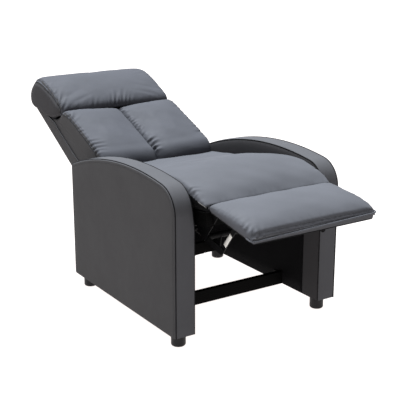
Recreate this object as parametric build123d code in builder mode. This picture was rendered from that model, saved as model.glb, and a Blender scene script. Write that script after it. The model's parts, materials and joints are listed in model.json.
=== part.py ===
"""Push-back recliner chair, shown reclined with its footrest out.

Millimetres, Z up, the footrest points along -Y. Left and right are as seen from the front.
Places in a side view are (y, z), with y counted from the line midway between the feet.
"""

import os
from math import atan2, cos, degrees, dist, pi, radians, sin, sqrt

from build123d import *

os.makedirs("parts", exist_ok=True)

# Overall sizes
overall_width = 650.0
arm_width = 75.0
arm_front_reach = 361.0
arm_rear_reach = 351.0
arm_front_height = 517.0
arm_crest_height = 545.5
arm_rear_height = 460.0
foot_height = 45.0

# Steel, wood and cloth that many pieces share
plate = 3.0
rail_thickness = 26.0
rail_height = 45.0
cross_thickness = 22.0
web = 2.0
skin = 2.5
seat_gap = 0.3
fit_gap = 0.05
bolt_gap = 0.2
cut_over = 1.0
quarter_turn = 90.0
crown_share = 0.25

# Side layers, from the arm inwards
guide_gap = 7.0
plate_gap = 2.0
link_gap = 0.5
arm_inner_x = overall_width / 2 - arm_width
base_rail_x = arm_inner_x - plate
back_bracket_x = base_rail_x - guide_gap - plate
seat_plate_x = back_bracket_x - plate_gap - plate
seat_rail_x = seat_plate_x - rail_thickness
link_plate_x = seat_rail_x - plate
foot_bracket_x = link_plate_x - link_gap - plate
coupler_x = foot_bracket_x - link_gap - plate
back_half = back_bracket_x + plate
cover_inner_x = back_half + link_gap

# Seat: the underside of the cushion falls to the rear
seat_fall = -6.4
seat_front = (-405.0, 456.0)
seat_seam = (-415.0, 478.0)
seat_length = 510.0

# Glide and recline: the seat slides back while the back turns upright
glide_z = 300.0
glide_travel = 70.0
recline_angle = 50.0
guide_place = (289.0, 346.0)
lever = glide_travel / 2 / sin(radians(recline_angle / 2))
lever_height = lever * cos(radians(recline_angle / 2))
recline_hinge = (guide_place[0] - glide_travel / 2, guide_place[1] - lever_height)
guide_rise = lever - lever_height

# Back: the front surface and the rear cover slope differently
back_slope = 22.4
back_low = (300.0, 487.0)
back_length = 604.0
back_depth_low = 196.4
back_overhang = 43.0
head_start = 322.0
cover_slope = 29.4
head_rear_depth = 93.0

# Footrest linkage, a parallelogram seen from the side
pivot_ahead = 8.0
pivot_below = 8.0
pivot_drop = 11.0
footrest_slope = 9.8
footrest_length = 226.0
drive_run = 72.0
drive_fall = 93.4
crank_run = 91.0
crank_fall = 18.0


def shift(point, run, rise):
    return (point[0] + run, point[1] + rise)


def on_slope(origin, slope, along, above):
    """The side-view place that lies along and above a sloping line."""
    c, s = cos(radians(slope)), sin(radians(slope))
    return shift(origin, along * c - above * s, along * s + above * c)


flap_hinge = on_slope(back_low, back_slope, -back_overhang, -back_depth_low)
footrest_pivot = shift(seat_front, -pivot_ahead, -pivot_below)
drive_pivot = shift(footrest_pivot, drive_run, -drive_fall)
footrest_crank = shift(footrest_pivot, -crank_run, -crank_fall)
drive_crank = shift(drive_pivot, -crank_run, -crank_fall)
board_low = shift(footrest_pivot, 0, pivot_drop)
front_end = on_slope(board_low, footrest_slope, -footrest_length, 0)
rear_end = on_slope(back_low, back_slope, back_length, -head_rear_depth)
mid_y = -(front_end[0] + rear_end[0]) / 2


def side_plane(x):
    """Local x runs to the rear and local y up."""
    return Plane(origin=(x, mid_y, 0), x_dir=(0, 1, 0), z_dir=(1, 0, 0))


def slope_plane(x, origin, slope):
    """As side_plane, with local x along a sloping line that starts at origin."""
    run = (0, cos(radians(slope)), sin(radians(slope)))
    return Plane(origin=(x, mid_y + origin[0], origin[1]), x_dir=run, z_dir=(1, 0, 0))


def top_plane(origin, slope, above):
    """Lies along the sloping line, raised by above: local x to the right, local y to the rear."""
    y, z = on_slope(origin, slope, 0, above)
    up = (0, -sin(radians(slope)), cos(radians(slope)))
    return Plane(origin=(0, mid_y + y, z), x_dir=(1, 0, 0), z_dir=up)


def front_plane(y):
    """Local x to the right and local y up, facing the front."""
    return Plane(origin=(0, mid_y + y, 0), x_dir=(1, 0, 0), z_dir=(0, -1, 0))


def save(piece, name):
    piece.part.label = name
    export_step(piece.part, f"parts/{name}.step")


def save_pair(right_piece, name):
    """Writes the right-hand piece and its mirror image."""
    save(right_piece, f"right_{name}")
    with BuildPart() as left_piece:
        mirror(right_piece.part, about=Plane.YZ)
    save(left_piece, f"left_{name}")


def save_both(right_piece, name):
    """Writes the right-hand pieces and their mirror images as one group."""
    with BuildPart() as group:
        add(right_piece.part)
        mirror(right_piece.part, about=Plane.YZ)
    save(group, name)


def bar(start, end, width):
    """A round-ended strip between two places of the open sketch."""
    angle = degrees(atan2(end[1] - start[1], end[0] - start[0]))
    with Locations(((start[0] + end[0]) / 2, (start[1] + end[1]) / 2)):
        SlotCenterToCenter(dist(start, end), width, rotation=angle)


def discs(x, places, radius, length, mode=Mode.ADD):
    """Round pins or holes that start at the side plane x and run outwards."""
    with BuildSketch(side_plane(x)) as rounds:
        with Locations(*places):
            Circle(radius)
    extrude(rounds.sketch, amount=length, mode=mode)


def drill(x, places, radius, length):
    discs(x, places, radius, length, Mode.SUBTRACT)


def blank(*points):
    """A flat shape with straight edges through the points."""
    with BuildLine() as outline:
        Polyline(*points, close=True)
    make_face(outline.edges())


def keep_between(low, high):
    """Trims the open sketch to the rectangle with these corners."""
    middle = ((low[0] + high[0]) / 2, (low[1] + high[1]) / 2)
    with Locations(middle):
        Rectangle(high[0] - low[0], high[1] - low[1], mode=Mode.INTERSECT)


# Arms: a padded cover over a wooden frame
arm_skin = 14.0
arm_corner_radius = 90.0
arm_edge_round = 6.0
arm_crest_share = 0.37
arm_front_y = -arm_front_reach
arm_rear_y = arm_rear_reach
arm_crest_y = arm_front_y + arm_crest_share * (arm_rear_y - arm_front_y)
arm_outer_x = overall_width / 2
frame_inset = arm_skin + seat_gap
frame_x = arm_inner_x + frame_inset
frame_thickness = arm_width - 2 * frame_inset
post_width = 62.0
arm_rail_height = 46.0
post_front_y = arm_front_y + frame_inset + post_width
post_rear_y = arm_rear_y - frame_inset - post_width
top_board_z = arm_rear_height - frame_inset - arm_rail_height

# Feet
foot_inset = 45.0
foot_inset_x = 40.0
foot_radius = 24.0
foot_round = 7.0
foot_screw_radius = 4.0
foot_screw_rise = 32.0
foot_screw_drop = 20.0
foot_front_y = arm_front_y + foot_inset
foot_rear_y = arm_rear_y - foot_inset
foot_x = arm_outer_x - foot_inset_x

# Cross rails between the arms
cross_rail_height = 47.0
cross_rail_thickness = 18.0
cross_rail_round = 2.0
cross_front_y = -163.0
cross_rear_y = 262.0
corner_leg = 32.0
corner_height = 30.0
corner_base_z = foot_height + (cross_rail_height - corner_height) / 2
screw_radius = 2.5
screw_head_radius = 5.0
screw_head = 2.0
screw_length = 26.0
rail_screw_length = 14.0

# Glide rails: slotted steel plates on the arms
bush_radius = 11.0
bush_play = 0.3
axle_front = (-180.0, glide_z)
axle_rear = (150.0, glide_z)
base_rail_height = 56.0
base_rail_margin = 50.0
base_rail_round = 8.0
ear_half = 27.0
ear_margin = 24.0
guide_pin_radius = 6.0
guide_play = 0.8
base_bolt_radius = 4.0
base_bolt_head_radius = 8.0
base_bolt_head = 4.5
base_bolt_length = 30.0
base_bolt_inset = 18.0
base_bolt_offset = 14.0
base_rail_front_y = axle_front[0] - base_rail_margin
base_rail_rear_y = guide_place[0] + ear_half
ear_top_z = guide_place[1] + guide_rise + ear_margin
base_bolts = [
    (base_rail_front_y + base_bolt_inset, glide_z + base_bolt_offset),
    ((axle_front[0] + glide_travel + axle_rear[0]) / 2, glide_z),
    (base_rail_rear_y - base_bolt_inset, glide_z - base_bolt_offset),
]
corner_screws = [
    (cross_front_y + cross_rail_thickness + corner_leg / 2, foot_height + cross_rail_height / 2),
    (cross_rear_y + cross_rail_thickness + corner_leg / 2, foot_height + cross_rail_height / 2),
]


def arm_outline(inset, drop):
    """The arm seen from the side, drawn in by inset; drop lowers the open bottom."""
    low = foot_height - drop
    with BuildLine() as outline:
        Polyline(
            (arm_rear_y, arm_rear_height),
            (arm_rear_y, low),
            (arm_front_y, low),
            (arm_front_y, arm_front_height),
        )
        ThreePointArc(
            (arm_front_y, arm_front_height),
            (arm_crest_y, arm_crest_height),
            (arm_rear_y, arm_rear_height),
        )
    make_face(outline.edges())
    front_corner = vertices().group_by(Axis.X)[0].sort_by(Axis.Y)[-1]
    fillet(front_corner, arm_corner_radius)
    if inset:
        offset(amount=-inset, mode=Mode.REPLACE, kind=Kind.INTERSECTION)


with BuildPart() as arm_cover:
    with BuildSketch(side_plane(arm_inner_x)):
        arm_outline(0, 0)
    extrude(amount=arm_width)
    rims = faces().filter_by(Axis.X).edges()
    fillet([e for e in rims if e.center().Z > foot_height + cut_over], arm_edge_round)
    with BuildSketch(side_plane(arm_inner_x + arm_skin)):
        arm_outline(arm_skin, arm_skin + cut_over)
    extrude(amount=arm_width - 2 * arm_skin, mode=Mode.SUBTRACT)
    drill(arm_inner_x - cut_over, base_bolts, base_bolt_radius + bolt_gap, arm_skin + 2 * cut_over)
    drill(arm_inner_x - cut_over, corner_screws, screw_radius + bolt_gap, arm_skin + 2 * cut_over)
save_pair(arm_cover, "arm_cover")

with BuildPart() as arm_posts:
    for low_y, high_y in ((arm_front_y, post_front_y), (post_rear_y, arm_rear_y)):
        with BuildSketch(side_plane(frame_x)):
            arm_outline(frame_inset, frame_inset)
            keep_between((low_y, 0), (high_y, arm_crest_height))
        extrude(amount=frame_thickness)
    with BuildSketch(Plane.XY.offset(foot_height)):
        with Locations((foot_x, mid_y + foot_front_y), (foot_x, mid_y + foot_rear_y)):
            Circle(foot_screw_radius + bolt_gap)
    extrude(amount=foot_screw_rise + cut_over, mode=Mode.SUBTRACT)
    drill(frame_x - cut_over, base_bolts, base_bolt_radius + bolt_gap, base_bolt_length)
    drill(frame_x - cut_over, corner_screws, screw_radius + bolt_gap, screw_length)
save_pair(arm_posts, "arm_posts")

with BuildPart() as arm_rails:
    for low_z, high_z in (
        (foot_height, corner_base_z + corner_height),
        (glide_z - arm_rail_height / 2, glide_z + arm_rail_height / 2),
        (top_board_z, arm_crest_height),
    ):
        with BuildSketch(side_plane(frame_x)):
            arm_outline(frame_inset, frame_inset)
            keep_between((post_front_y, low_z), (post_rear_y, high_z))
        extrude(amount=frame_thickness)
    drill(frame_x - cut_over, base_bolts, base_bolt_radius + bolt_gap, base_bolt_length)
    drill(frame_x - cut_over, corner_screws, screw_radius + bolt_gap, screw_length)
save_pair(arm_rails, "arm_rails")

foot_places = [
    (side * foot_x, mid_y + y) for side in (-1, 1) for y in (foot_front_y, foot_rear_y)
]
with BuildPart() as feet:
    with BuildSketch():
        with Locations(*foot_places):
            Circle(foot_radius)
    extrude(amount=foot_height)
    fillet(edges().group_by(Axis.Z)[0], foot_round)
    with BuildSketch(Plane.XY.offset(foot_height)):
        with Locations(*foot_places):
            Circle(foot_screw_radius + bolt_gap)
    extrude(amount=-foot_screw_drop - cut_over, mode=Mode.SUBTRACT)
save(feet, "feet")

with BuildPart() as foot_screws:
    with BuildSketch(Plane.XY.offset(foot_height - foot_screw_drop)):
        with Locations(*foot_places):
            Circle(foot_screw_radius)
    extrude(amount=foot_screw_drop + foot_screw_rise)
save(foot_screws, "foot_screws")


def cross_rail(front_y):
    """A rail from arm to arm; its rear face is drilled for the corner screws."""
    rear_y = front_y + cross_rail_thickness
    with BuildPart() as rail:
        with BuildSketch(side_plane(-arm_inner_x)):
            with Locations(((front_y + rear_y) / 2, foot_height + cross_rail_height / 2)):
                Rectangle(cross_rail_thickness, cross_rail_height)
        extrude(amount=2 * arm_inner_x)
        fillet(edges().filter_by(Axis.X), cross_rail_round)
        with BuildSketch(front_plane(rear_y + cut_over)):
            with Locations(*corner_screw_fronts):
                Circle(screw_radius + bolt_gap)
        extrude(amount=rail_screw_length + cut_over, mode=Mode.SUBTRACT)
    return rail


corner_screw_x = arm_inner_x - corner_leg / 2 - plate
corner_screw_fronts = [
    (side * corner_screw_x, foot_height + cross_rail_height / 2) for side in (-1, 1)
]
save(cross_rail(cross_front_y), "front_cross_rail")
save(cross_rail(cross_rear_y), "rear_cross_rail")

with BuildPart() as rail_corners:
    for front_y in (cross_front_y, cross_rear_y):
        rear_y = mid_y + front_y + cross_rail_thickness
        with BuildSketch(Plane.XY.offset(corner_base_z)):
            blank(
                (arm_inner_x, rear_y),
                (arm_inner_x, rear_y + corner_leg),
                (arm_inner_x - plate, rear_y + corner_leg),
                (arm_inner_x - plate, rear_y + plate),
                (arm_inner_x - corner_leg, rear_y + plate),
                (arm_inner_x - corner_leg, rear_y),
            )
        extrude(amount=corner_height)
        with BuildSketch(front_plane(front_y + cross_rail_thickness + plate + cut_over)):
            with Locations(corner_screw_fronts[-1]):
                Circle(screw_radius + bolt_gap)
        extrude(amount=plate + 2 * cut_over, mode=Mode.SUBTRACT)
    drill(base_rail_x - cut_over, corner_screws, screw_radius + bolt_gap, plate + 2 * cut_over)
save_both(rail_corners, "rail_corners")

with BuildPart() as rail_screws:
    discs(base_rail_x - screw_head, corner_screws, screw_head_radius, screw_head)
    discs(base_rail_x, corner_screws, screw_radius, screw_length)
    for front_y in (cross_front_y, cross_rear_y):
        head_y = front_y + cross_rail_thickness + plate
        with BuildSketch(front_plane(head_y + screw_head)):
            with Locations(corner_screw_fronts[-1]):
                Circle(screw_head_radius)
        extrude(amount=screw_head)
        with BuildSketch(front_plane(head_y)):
            with Locations(corner_screw_fronts[-1]):
                Circle(screw_radius)
        extrude(amount=rail_screw_length)
save_both(rail_screws, "rail_screws")

with BuildPart() as base_rail:
    with BuildSketch(side_plane(base_rail_x)):
        with Locations(((base_rail_front_y + base_rail_rear_y) / 2, glide_z)):
            Rectangle(base_rail_rear_y - base_rail_front_y, base_rail_height)
        with Locations((guide_place[0], (glide_z + ear_top_z) / 2)):
            Rectangle(2 * ear_half, ear_top_z - glide_z)
        fillet(vertices(), base_rail_round)
        for axle in (axle_front, axle_rear):
            with Locations(shift(axle, glide_travel / 2, 0)):
                SlotCenterToCenter(glide_travel, 2 * (bush_radius + bush_play), mode=Mode.SUBTRACT)
        with Locations(shift(guide_place, 0, guide_rise / 2)):
            SlotCenterToCenter(
                guide_rise,
                2 * (guide_pin_radius + guide_play),
                rotation=quarter_turn,
                mode=Mode.SUBTRACT,
            )
        with Locations(*base_bolts):
            Circle(base_bolt_radius + bolt_gap, mode=Mode.SUBTRACT)
    extrude(amount=plate)
save_pair(base_rail, "base_rail")

with BuildPart() as base_rail_bolts:
    discs(base_rail_x - base_bolt_head, base_bolts, base_bolt_head_radius, base_bolt_head)
    discs(base_rail_x, base_bolts, base_bolt_radius, base_bolt_length)
save_both(base_rail_bolts, "base_rail_bolts")

# Seat frame: wooden rails, webbing and the steel plates bolted to them
seat_rail_start = 12.0
seat_rail_end = 500.0
strap_width = 50.0
seat_strap_count = 6
seat_bolt_radius = 3.0
seat_bolt_head_radius = 6.0
seat_bolt_head = 3.0
seat_bolt_length = 18.0
plate_bolt_depth = 24.0
plate_bolt_places = (215.0, 470.0)
link_bolt_places = (45.0, 125.0)
seat_plate_margin = 20.0
seat_plate_round = 12.0
seat_plate_tail = 36.0
axle_radius = 5.0
axle_head_radius = 8.0
hinge_pin_radius = 6.0
hinge_pin_head_radius = 10.0
footrest_pin_radius = 5.0
footrest_pin_head_radius = 8.0
journal_radius = 6.0
link_width = 19.0
drive_width = 24.0
lightening_radius = 9.0
rod_radius = 5.0
rod_place = (-190.0, 345.0)


def on_seat(along, above):
    return on_slope(seat_front, seat_fall, along, above)


plate_bolts = [on_seat(along, -plate_bolt_depth) for along in plate_bolt_places]
link_bolts = [on_seat(along, -plate_bolt_depth) for along in link_bolt_places]

with BuildPart() as seat_side_rail:
    with BuildSketch(slope_plane(seat_rail_x, seat_front, seat_fall)):
        with Locations(((seat_rail_start + seat_rail_end) / 2, -web - rail_height / 2)):
            Rectangle(seat_rail_end - seat_rail_start, rail_height)
    extrude(amount=rail_thickness)
    drill(seat_rail_x - cut_over, link_bolts, seat_bolt_radius + bolt_gap, seat_bolt_length + cut_over)
    drill(
        seat_plate_x - seat_bolt_length,
        plate_bolts,
        seat_bolt_radius + bolt_gap,
        seat_bolt_length + cut_over,
    )
save_pair(seat_side_rail, "seat_side_rail")


def seat_cross_rail(start, half):
    with BuildPart() as rail:
        with BuildSketch(slope_plane(-half, seat_front, seat_fall)):
            with Locations((start + cross_thickness / 2, -web - rail_height / 2)):
                Rectangle(cross_thickness, rail_height)
        extrude(amount=2 * half)
    return rail


save(seat_cross_rail(seat_rail_start, link_plate_x), "seat_front_rail")
save(seat_cross_rail(seat_rail_end - cross_thickness, seat_rail_x), "seat_rear_rail")

strap_run = seat_rail_end - seat_rail_start - strap_width
with BuildPart() as seat_webbing:
    with BuildSketch(top_plane(seat_front, seat_fall, -web)):
        for count in range(seat_strap_count):
            along = seat_rail_start + strap_width / 2 + count * strap_run / (seat_strap_count - 1)
            with Locations((0, along)):
                Rectangle(2 * seat_plate_x, strap_width)
    extrude(amount=web)
save(seat_webbing, "seat_webbing")

with BuildPart() as seat_plate:
    with BuildSketch(side_plane(seat_plate_x)):
        blank(
            shift(axle_front, -seat_plate_margin, -seat_plate_margin),
            shift(axle_rear, seat_plate_margin, -seat_plate_margin),
            on_seat(plate_bolt_places[1] + seat_plate_margin, -seat_plate_margin / 2),
            on_seat(plate_bolt_places[0] - seat_plate_margin, -seat_plate_margin / 2),
        )
        fillet(vertices(), seat_plate_round)
        bar(axle_rear, recline_hinge, seat_plate_tail)
    extrude(amount=plate)
    drill(seat_plate_x - cut_over, plate_bolts, seat_bolt_radius + bolt_gap, plate + 2 * cut_over)
    drill(seat_plate_x - cut_over, [axle_front, axle_rear], axle_radius + bolt_gap, plate + 2 * cut_over)
    drill(seat_plate_x - cut_over, [recline_hinge], hinge_pin_radius + bolt_gap, plate + 2 * cut_over)
    drill(seat_plate_x - cut_over, [rod_place], rod_radius + bolt_gap, plate + 2 * cut_over)
save_pair(seat_plate, "seat_plate")

link_middle = (
    (footrest_pivot[0] + drive_pivot[0] + link_bolts[1][0]) / 3,
    (footrest_pivot[1] + drive_pivot[1] + link_bolts[1][1]) / 3,
)
with BuildPart() as link_plate:
    with BuildSketch(side_plane(link_plate_x)):
        blank(footrest_pivot, drive_pivot, link_bolts[1])
        bar(footrest_pivot, link_bolts[0], link_width)
        bar(link_bolts[0], link_bolts[1], link_width)
        bar(footrest_pivot, drive_pivot, link_width)
        bar(drive_pivot, link_bolts[1], link_width)
        with Locations(link_middle):
            Circle(lightening_radius, mode=Mode.SUBTRACT)
    extrude(amount=plate)
    drill(link_plate_x - cut_over, link_bolts, seat_bolt_radius + bolt_gap, plate + 2 * cut_over)
    drill(
        link_plate_x - cut_over,
        [footrest_pivot],
        footrest_pin_radius + bolt_gap,
        plate + 2 * cut_over,
    )
    drill(link_plate_x - cut_over, [drive_pivot], journal_radius + fit_gap, plate + 2 * cut_over)
save_pair(link_plate, "link_plate")

with BuildPart() as seat_bolts:
    discs(link_plate_x - seat_bolt_head, link_bolts, seat_bolt_head_radius, seat_bolt_head)
    discs(link_plate_x, link_bolts, seat_bolt_radius, seat_bolt_length)
    outer_x = seat_plate_x + plate
    discs(outer_x, plate_bolts, seat_bolt_head_radius, seat_bolt_head)
    discs(outer_x - seat_bolt_length, plate_bolts, seat_bolt_radius, seat_bolt_length)
save_both(seat_bolts, "seat_bolts")

# Glide bushes run in the slots of the base rails, on axles fixed in the seat plates
bush_flange_radius = 15.0
bush_flange = 3.2
bush_sleeve_radius = 8.0
bush_end_x = arm_inner_x - seat_gap
bush_flange_end_x = base_rail_x - seat_gap
with BuildPart() as glide_bushes:
    axles = [axle_front, axle_rear]
    bush_start_x = seat_plate_x + plate
    flange_start_x = bush_flange_end_x - bush_flange
    discs(bush_start_x, axles, bush_sleeve_radius, flange_start_x - bush_start_x)
    discs(flange_start_x, axles, bush_flange_radius, bush_flange)
    discs(bush_flange_end_x, axles, bush_radius, bush_end_x - bush_flange_end_x)
    drill(bush_start_x - cut_over, axles, axle_radius + bolt_gap, arm_inner_x - bush_start_x)
    drill(base_rail_x, axles, axle_radius + bolt_gap, plate)
save_both(glide_bushes, "glide_bushes")

with BuildPart() as glide_axles:
    discs(seat_plate_x - plate, [axle_front, axle_rear], axle_head_radius, plate)
    discs(seat_plate_x, [axle_front, axle_rear], axle_radius, bush_end_x - seat_plate_x)
save_both(glide_axles, "glide_axles")

with BuildPart() as recline_pins:
    discs(seat_plate_x - plate, [recline_hinge], hinge_pin_head_radius, plate)
    discs(seat_plate_x, [recline_hinge], hinge_pin_radius, back_half - seat_plate_x)
    discs(
        seat_plate_x + plate,
        [recline_hinge],
        hinge_pin_head_radius,
        back_bracket_x - seat_plate_x - plate - seat_gap,
    )
save_both(recline_pins, "recline_pins")

with BuildPart() as footrest_pins:
    discs(foot_bracket_x - plate, [footrest_pivot], footrest_pin_head_radius, plate)
    discs(foot_bracket_x, [footrest_pivot], footrest_pin_radius, seat_rail_x - foot_bracket_x)
save_both(footrest_pins, "footrest_pins")

with BuildPart() as spring_rod:
    rod_half = seat_plate_x + plate + link_gap
    discs(-rod_half, [rod_place], rod_radius, 2 * rod_half)
save(spring_rod, "spring_rod")


def loft_across(stations, plane_at, draw):
    """Lofts side profiles from left to right; each station is (x, rise, draw_in)."""
    sections = []
    for x, rise, draw_in in stations:
        with BuildSketch(plane_at(x)) as section:
            with BuildLine():
                draw(rise, draw_in)
            make_face()
        sections.append(section.sketch)
    loft(sections)


# Seat cushion: crowned, with its sides drawn in and a rolled rear end
seat_half = arm_inner_x - plate_gap
seat_shoulder_in = 43.0
seat_shoulder = seat_half - seat_shoulder_in
seat_crest = (-205.0, 552.0)
seat_nose = (-325.0, 529.0)
seat_slope = (-75.0, 528.0)
seat_back_top = (60.0, 494.0)
seat_roll = 4.0
seam_drop_share = 0.25
seat_side_drop = 32.0
seat_shoulder_drop = 14.0
seat_draw_in = 8.0
seat_rear_low = on_seat(seat_length, 0)


def draw_seat(rise, draw_in):
    """One side profile of the seat cushion, its top lowered by a share of each height."""
    front_top = shift(seat_seam, draw_in / 2, -rise * seam_drop_share)
    crest = shift(seat_crest, 0, -rise)
    rear_top = shift(seat_back_top, -draw_in, -rise)
    front_low = shift(seat_front, draw_in, -draw_in * sin(radians(-seat_fall)))
    rear_low = on_seat(seat_length - draw_in, 0)
    roll = on_seat(seat_length - draw_in + seat_roll, (rear_top[1] - rear_low[1]) / 2)
    ThreePointArc(front_top, shift(seat_nose, 0, -rise), crest)
    ThreePointArc(crest, shift(seat_slope, 0, -rise), rear_top)
    ThreePointArc(rear_top, roll, rear_low)
    Polyline(rear_low, front_low, front_top)


with BuildPart() as seat_cushion:
    loft_across(
        [
            (-seat_half, seat_side_drop, seat_draw_in),
            (-seat_shoulder, seat_shoulder_drop, 0),
            (-seat_shoulder / 2, seat_shoulder_drop * crown_share, 0),
            (seat_shoulder / 2, seat_shoulder_drop * crown_share, 0),
            (seat_shoulder, seat_shoulder_drop, 0),
            (seat_half, seat_side_drop, seat_draw_in),
        ],
        side_plane,
        draw_seat,
    )
save(seat_cushion, "seat_cushion")

# Back frame: posts and cross rails along the rear cover
post_outer_x = back_bracket_x
back_post_width = 27.0
back_post_inner_x = post_outer_x - back_post_width
post_start = 10.0
post_end = 604.0
post_lift = skin + seat_gap
post_front = post_lift + rail_thickness
back_rail_width = 44.0
back_rail_places = (12.0, 270.0, 560.0)
back_strap_count = 5
back_strap_first = 70.0
back_strap_step = 92.0
back_bolt_places = (60.0, 150.0)
back_bolt_head = 2.0
back_bolt_length = 20.0
bracket_width = 22.0


def on_cover(along, above):
    return on_slope(flap_hinge, cover_slope, along, above)


def on_back(along, above):
    return on_slope(back_low, back_slope, along, above)


back_bolts = [on_cover(along, post_front / 2) for along in back_bolt_places]

with BuildPart() as back_post:
    with BuildSketch(slope_plane(back_post_inner_x, flap_hinge, cover_slope)):
        with Locations(((post_start + post_end) / 2, (post_lift + post_front) / 2)):
            Rectangle(post_end - post_start, rail_thickness)
    extrude(amount=back_post_width)
    drill(
        post_outer_x - back_bolt_length,
        back_bolts,
        seat_bolt_radius + bolt_gap,
        back_bolt_length + cut_over,
    )
save_pair(back_post, "back_post")

with BuildPart() as back_cross_rails:
    with BuildSketch(top_plane(flap_hinge, cover_slope, post_lift)):
        for start in back_rail_places:
            with Locations((0, start + back_rail_width / 2)):
                Rectangle(2 * back_post_inner_x, back_rail_width)
    extrude(amount=rail_thickness)
save(back_cross_rails, "back_cross_rails")

with BuildPart() as back_webbing:
    with BuildSketch(top_plane(flap_hinge, cover_slope, post_front)):
        for count in range(back_strap_count):
            with Locations((0, back_strap_first + count * back_strap_step)):
                Rectangle(2 * post_outer_x, strap_width)
    extrude(amount=web)
save(back_webbing, "back_webbing")

with BuildPart() as back_bracket:
    with BuildSketch(side_plane(back_bracket_x)):
        blank(recline_hinge, guide_place, back_bolts[0])
        bar(recline_hinge, guide_place, bracket_width)
        bar(guide_place, back_bolts[0], bracket_width)
        bar(recline_hinge, back_bolts[0], bracket_width)
        bar(back_bolts[0], back_bolts[1], bracket_width)
    extrude(amount=plate)
    drill(back_bracket_x - cut_over, [recline_hinge], hinge_pin_radius + fit_gap, plate + 2 * cut_over)
    drill(back_bracket_x - cut_over, [guide_place], guide_pin_radius + bolt_gap, plate + 2 * cut_over)
    drill(back_bracket_x - cut_over, back_bolts, seat_bolt_radius + bolt_gap, plate + 2 * cut_over)
    drill(
        back_half - back_bolt_head - bolt_gap,
        back_bolts,
        seat_bolt_head_radius + bolt_gap,
        back_bolt_head + cut_over,
    )
save_pair(back_bracket, "back_bracket")

with BuildPart() as back_bolts_group:
    discs(back_half - back_bolt_head, back_bolts, seat_bolt_head_radius, back_bolt_head)
    discs(
        back_half - back_bolt_head - back_bolt_length + plate,
        back_bolts,
        seat_bolt_radius,
        back_bolt_length - plate,
    )
save_both(back_bolts_group, "back_bolts")

guide_collar_radius = 9.0
with BuildPart() as guide_pins:
    discs(back_bracket_x, [guide_place], guide_pin_radius, bush_end_x - back_bracket_x)
    discs(back_half, [guide_place], guide_collar_radius, base_rail_x - back_half - seat_gap)
save_both(guide_pins, "guide_pins")

# Back cushions: crowned, rolled at the bottom, dipping at the split between them
cushion_low = -10.0
split_gap = 0.8
split_shoulder = 26.0
cushion_middle = back_half / 2
cushion_shoulder_in = 25.0
cushion_shoulder = back_half - cushion_shoulder_in
cushion_crown = 19.0
cushion_bed = post_front + web + seat_gap
tuck_gap = 0.8
tuck_places = ((head_start, -6.0), (360.0, -50.0), (442.0, -92.0))
cushion_draw_in = 6.0
roll_depth = 78.0
roll_start = 16.0
cushion_foot_along = 62.0
bed_end = 498.0


def cover_to_back(along, above):
    """A place given along the cover, as (along, above) of the back's front line."""
    point = on_cover(along, above)
    run, rise = point[0] - back_low[0], point[1] - back_low[1]
    c, s = cos(radians(back_slope)), sin(radians(back_slope))
    return (run * c + rise * s, rise * c - run * s)


def back_plane(x):
    return slope_plane(x, back_low, back_slope)


def draw_back_cushion(drop, draw_in):
    """One side profile of a back cushion; drop lowers the front surface."""
    front = cushion_crown - drop
    foot = cover_to_back(cushion_foot_along + draw_in, cushion_bed)
    heel = (roll_start + draw_in, front - roll_start)
    brow = shift(tuck_places[0], -tuck_gap, front - cushion_crown - tuck_gap)
    bed = cover_to_back(bed_end, cushion_bed)
    ThreePointArc(foot, (cushion_low + draw_in, -roll_depth), heel)
    ThreePointArc(heel, (head_start / 2, front), brow)
    Polyline(
        brow,
        shift(tuck_places[1], -tuck_gap, -tuck_gap),
        shift(tuck_places[2], -tuck_gap, -tuck_gap),
        bed,
        foot,
    )


split_drop = 30.0
split_shoulder_drop = 9.0
cushion_shoulder_drop = 7.0
cushion_edge_drop = 17.0
with BuildPart() as back_cushion:
    loft_across(
        [
            (split_gap, split_drop, cushion_draw_in),
            (split_shoulder, split_shoulder_drop, 0),
            (cushion_middle, 0, 0),
            (cushion_shoulder, cushion_shoulder_drop, 0),
            (back_half, cushion_edge_drop, cushion_draw_in),
        ],
        back_plane,
        draw_back_cushion,
    )
save_pair(back_cushion, "back_cushion")

# Head pillow: laps over the cushions and wraps the top of the posts
pillow_in = 1.0
pillow_shoulder_in = 28.0
pillow_half = back_half - pillow_in
pillow_shoulder = pillow_half - pillow_shoulder_in
pillow_crown = (463.0, 20.0)
pillow_brow = (582.0, 2.0)
pillow_top = (604.0, -32.0)
pillow_end = (600.0, -head_rear_depth)
pillow_rear = (588.0, -115.0)
pillow_edge_drop = 15.0
pillow_shoulder_drop = 6.0
pillow_draw_in = 14.0


def draw_pillow(drop, draw_in):
    """One side profile of the head pillow, drawn in at its outer ends."""
    edge = shift(tuck_places[0], tuck_gap + draw_in / 2, tuck_gap)
    brow = shift(pillow_brow, -draw_in, -drop)
    end = shift(pillow_end, -draw_in, 0)
    rear = shift(pillow_rear, -draw_in, 0)
    wrap = cover_to_back(post_end + seat_gap, 0)
    inner = cover_to_back(post_end + seat_gap, cushion_bed)
    bed = cover_to_back(bed_end + tuck_gap + seat_gap, cushion_bed)
    ThreePointArc(edge, shift(pillow_crown, 0, -drop), brow)
    ThreePointArc(brow, shift(pillow_top, -draw_in, -drop / 2), end)
    Polyline(
        end,
        rear,
        wrap,
        inner,
        bed,
        shift(tuck_places[2], tuck_gap, tuck_gap),
        shift(tuck_places[1], tuck_gap, tuck_gap),
        edge,
    )


with BuildPart() as head_pillow:
    loft_across(
        [
            (-pillow_half, pillow_edge_drop, pillow_draw_in),
            (-pillow_shoulder, pillow_shoulder_drop, pillow_draw_in * crown_share),
            (-pillow_shoulder / 2, 0, 0),
            (pillow_shoulder / 2, 0, 0),
            (pillow_shoulder, pillow_shoulder_drop, pillow_draw_in * crown_share),
            (pillow_half, pillow_edge_drop, pillow_draw_in),
        ],
        back_plane,
        draw_pillow,
    )
save(head_pillow, "head_pillow")

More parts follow.
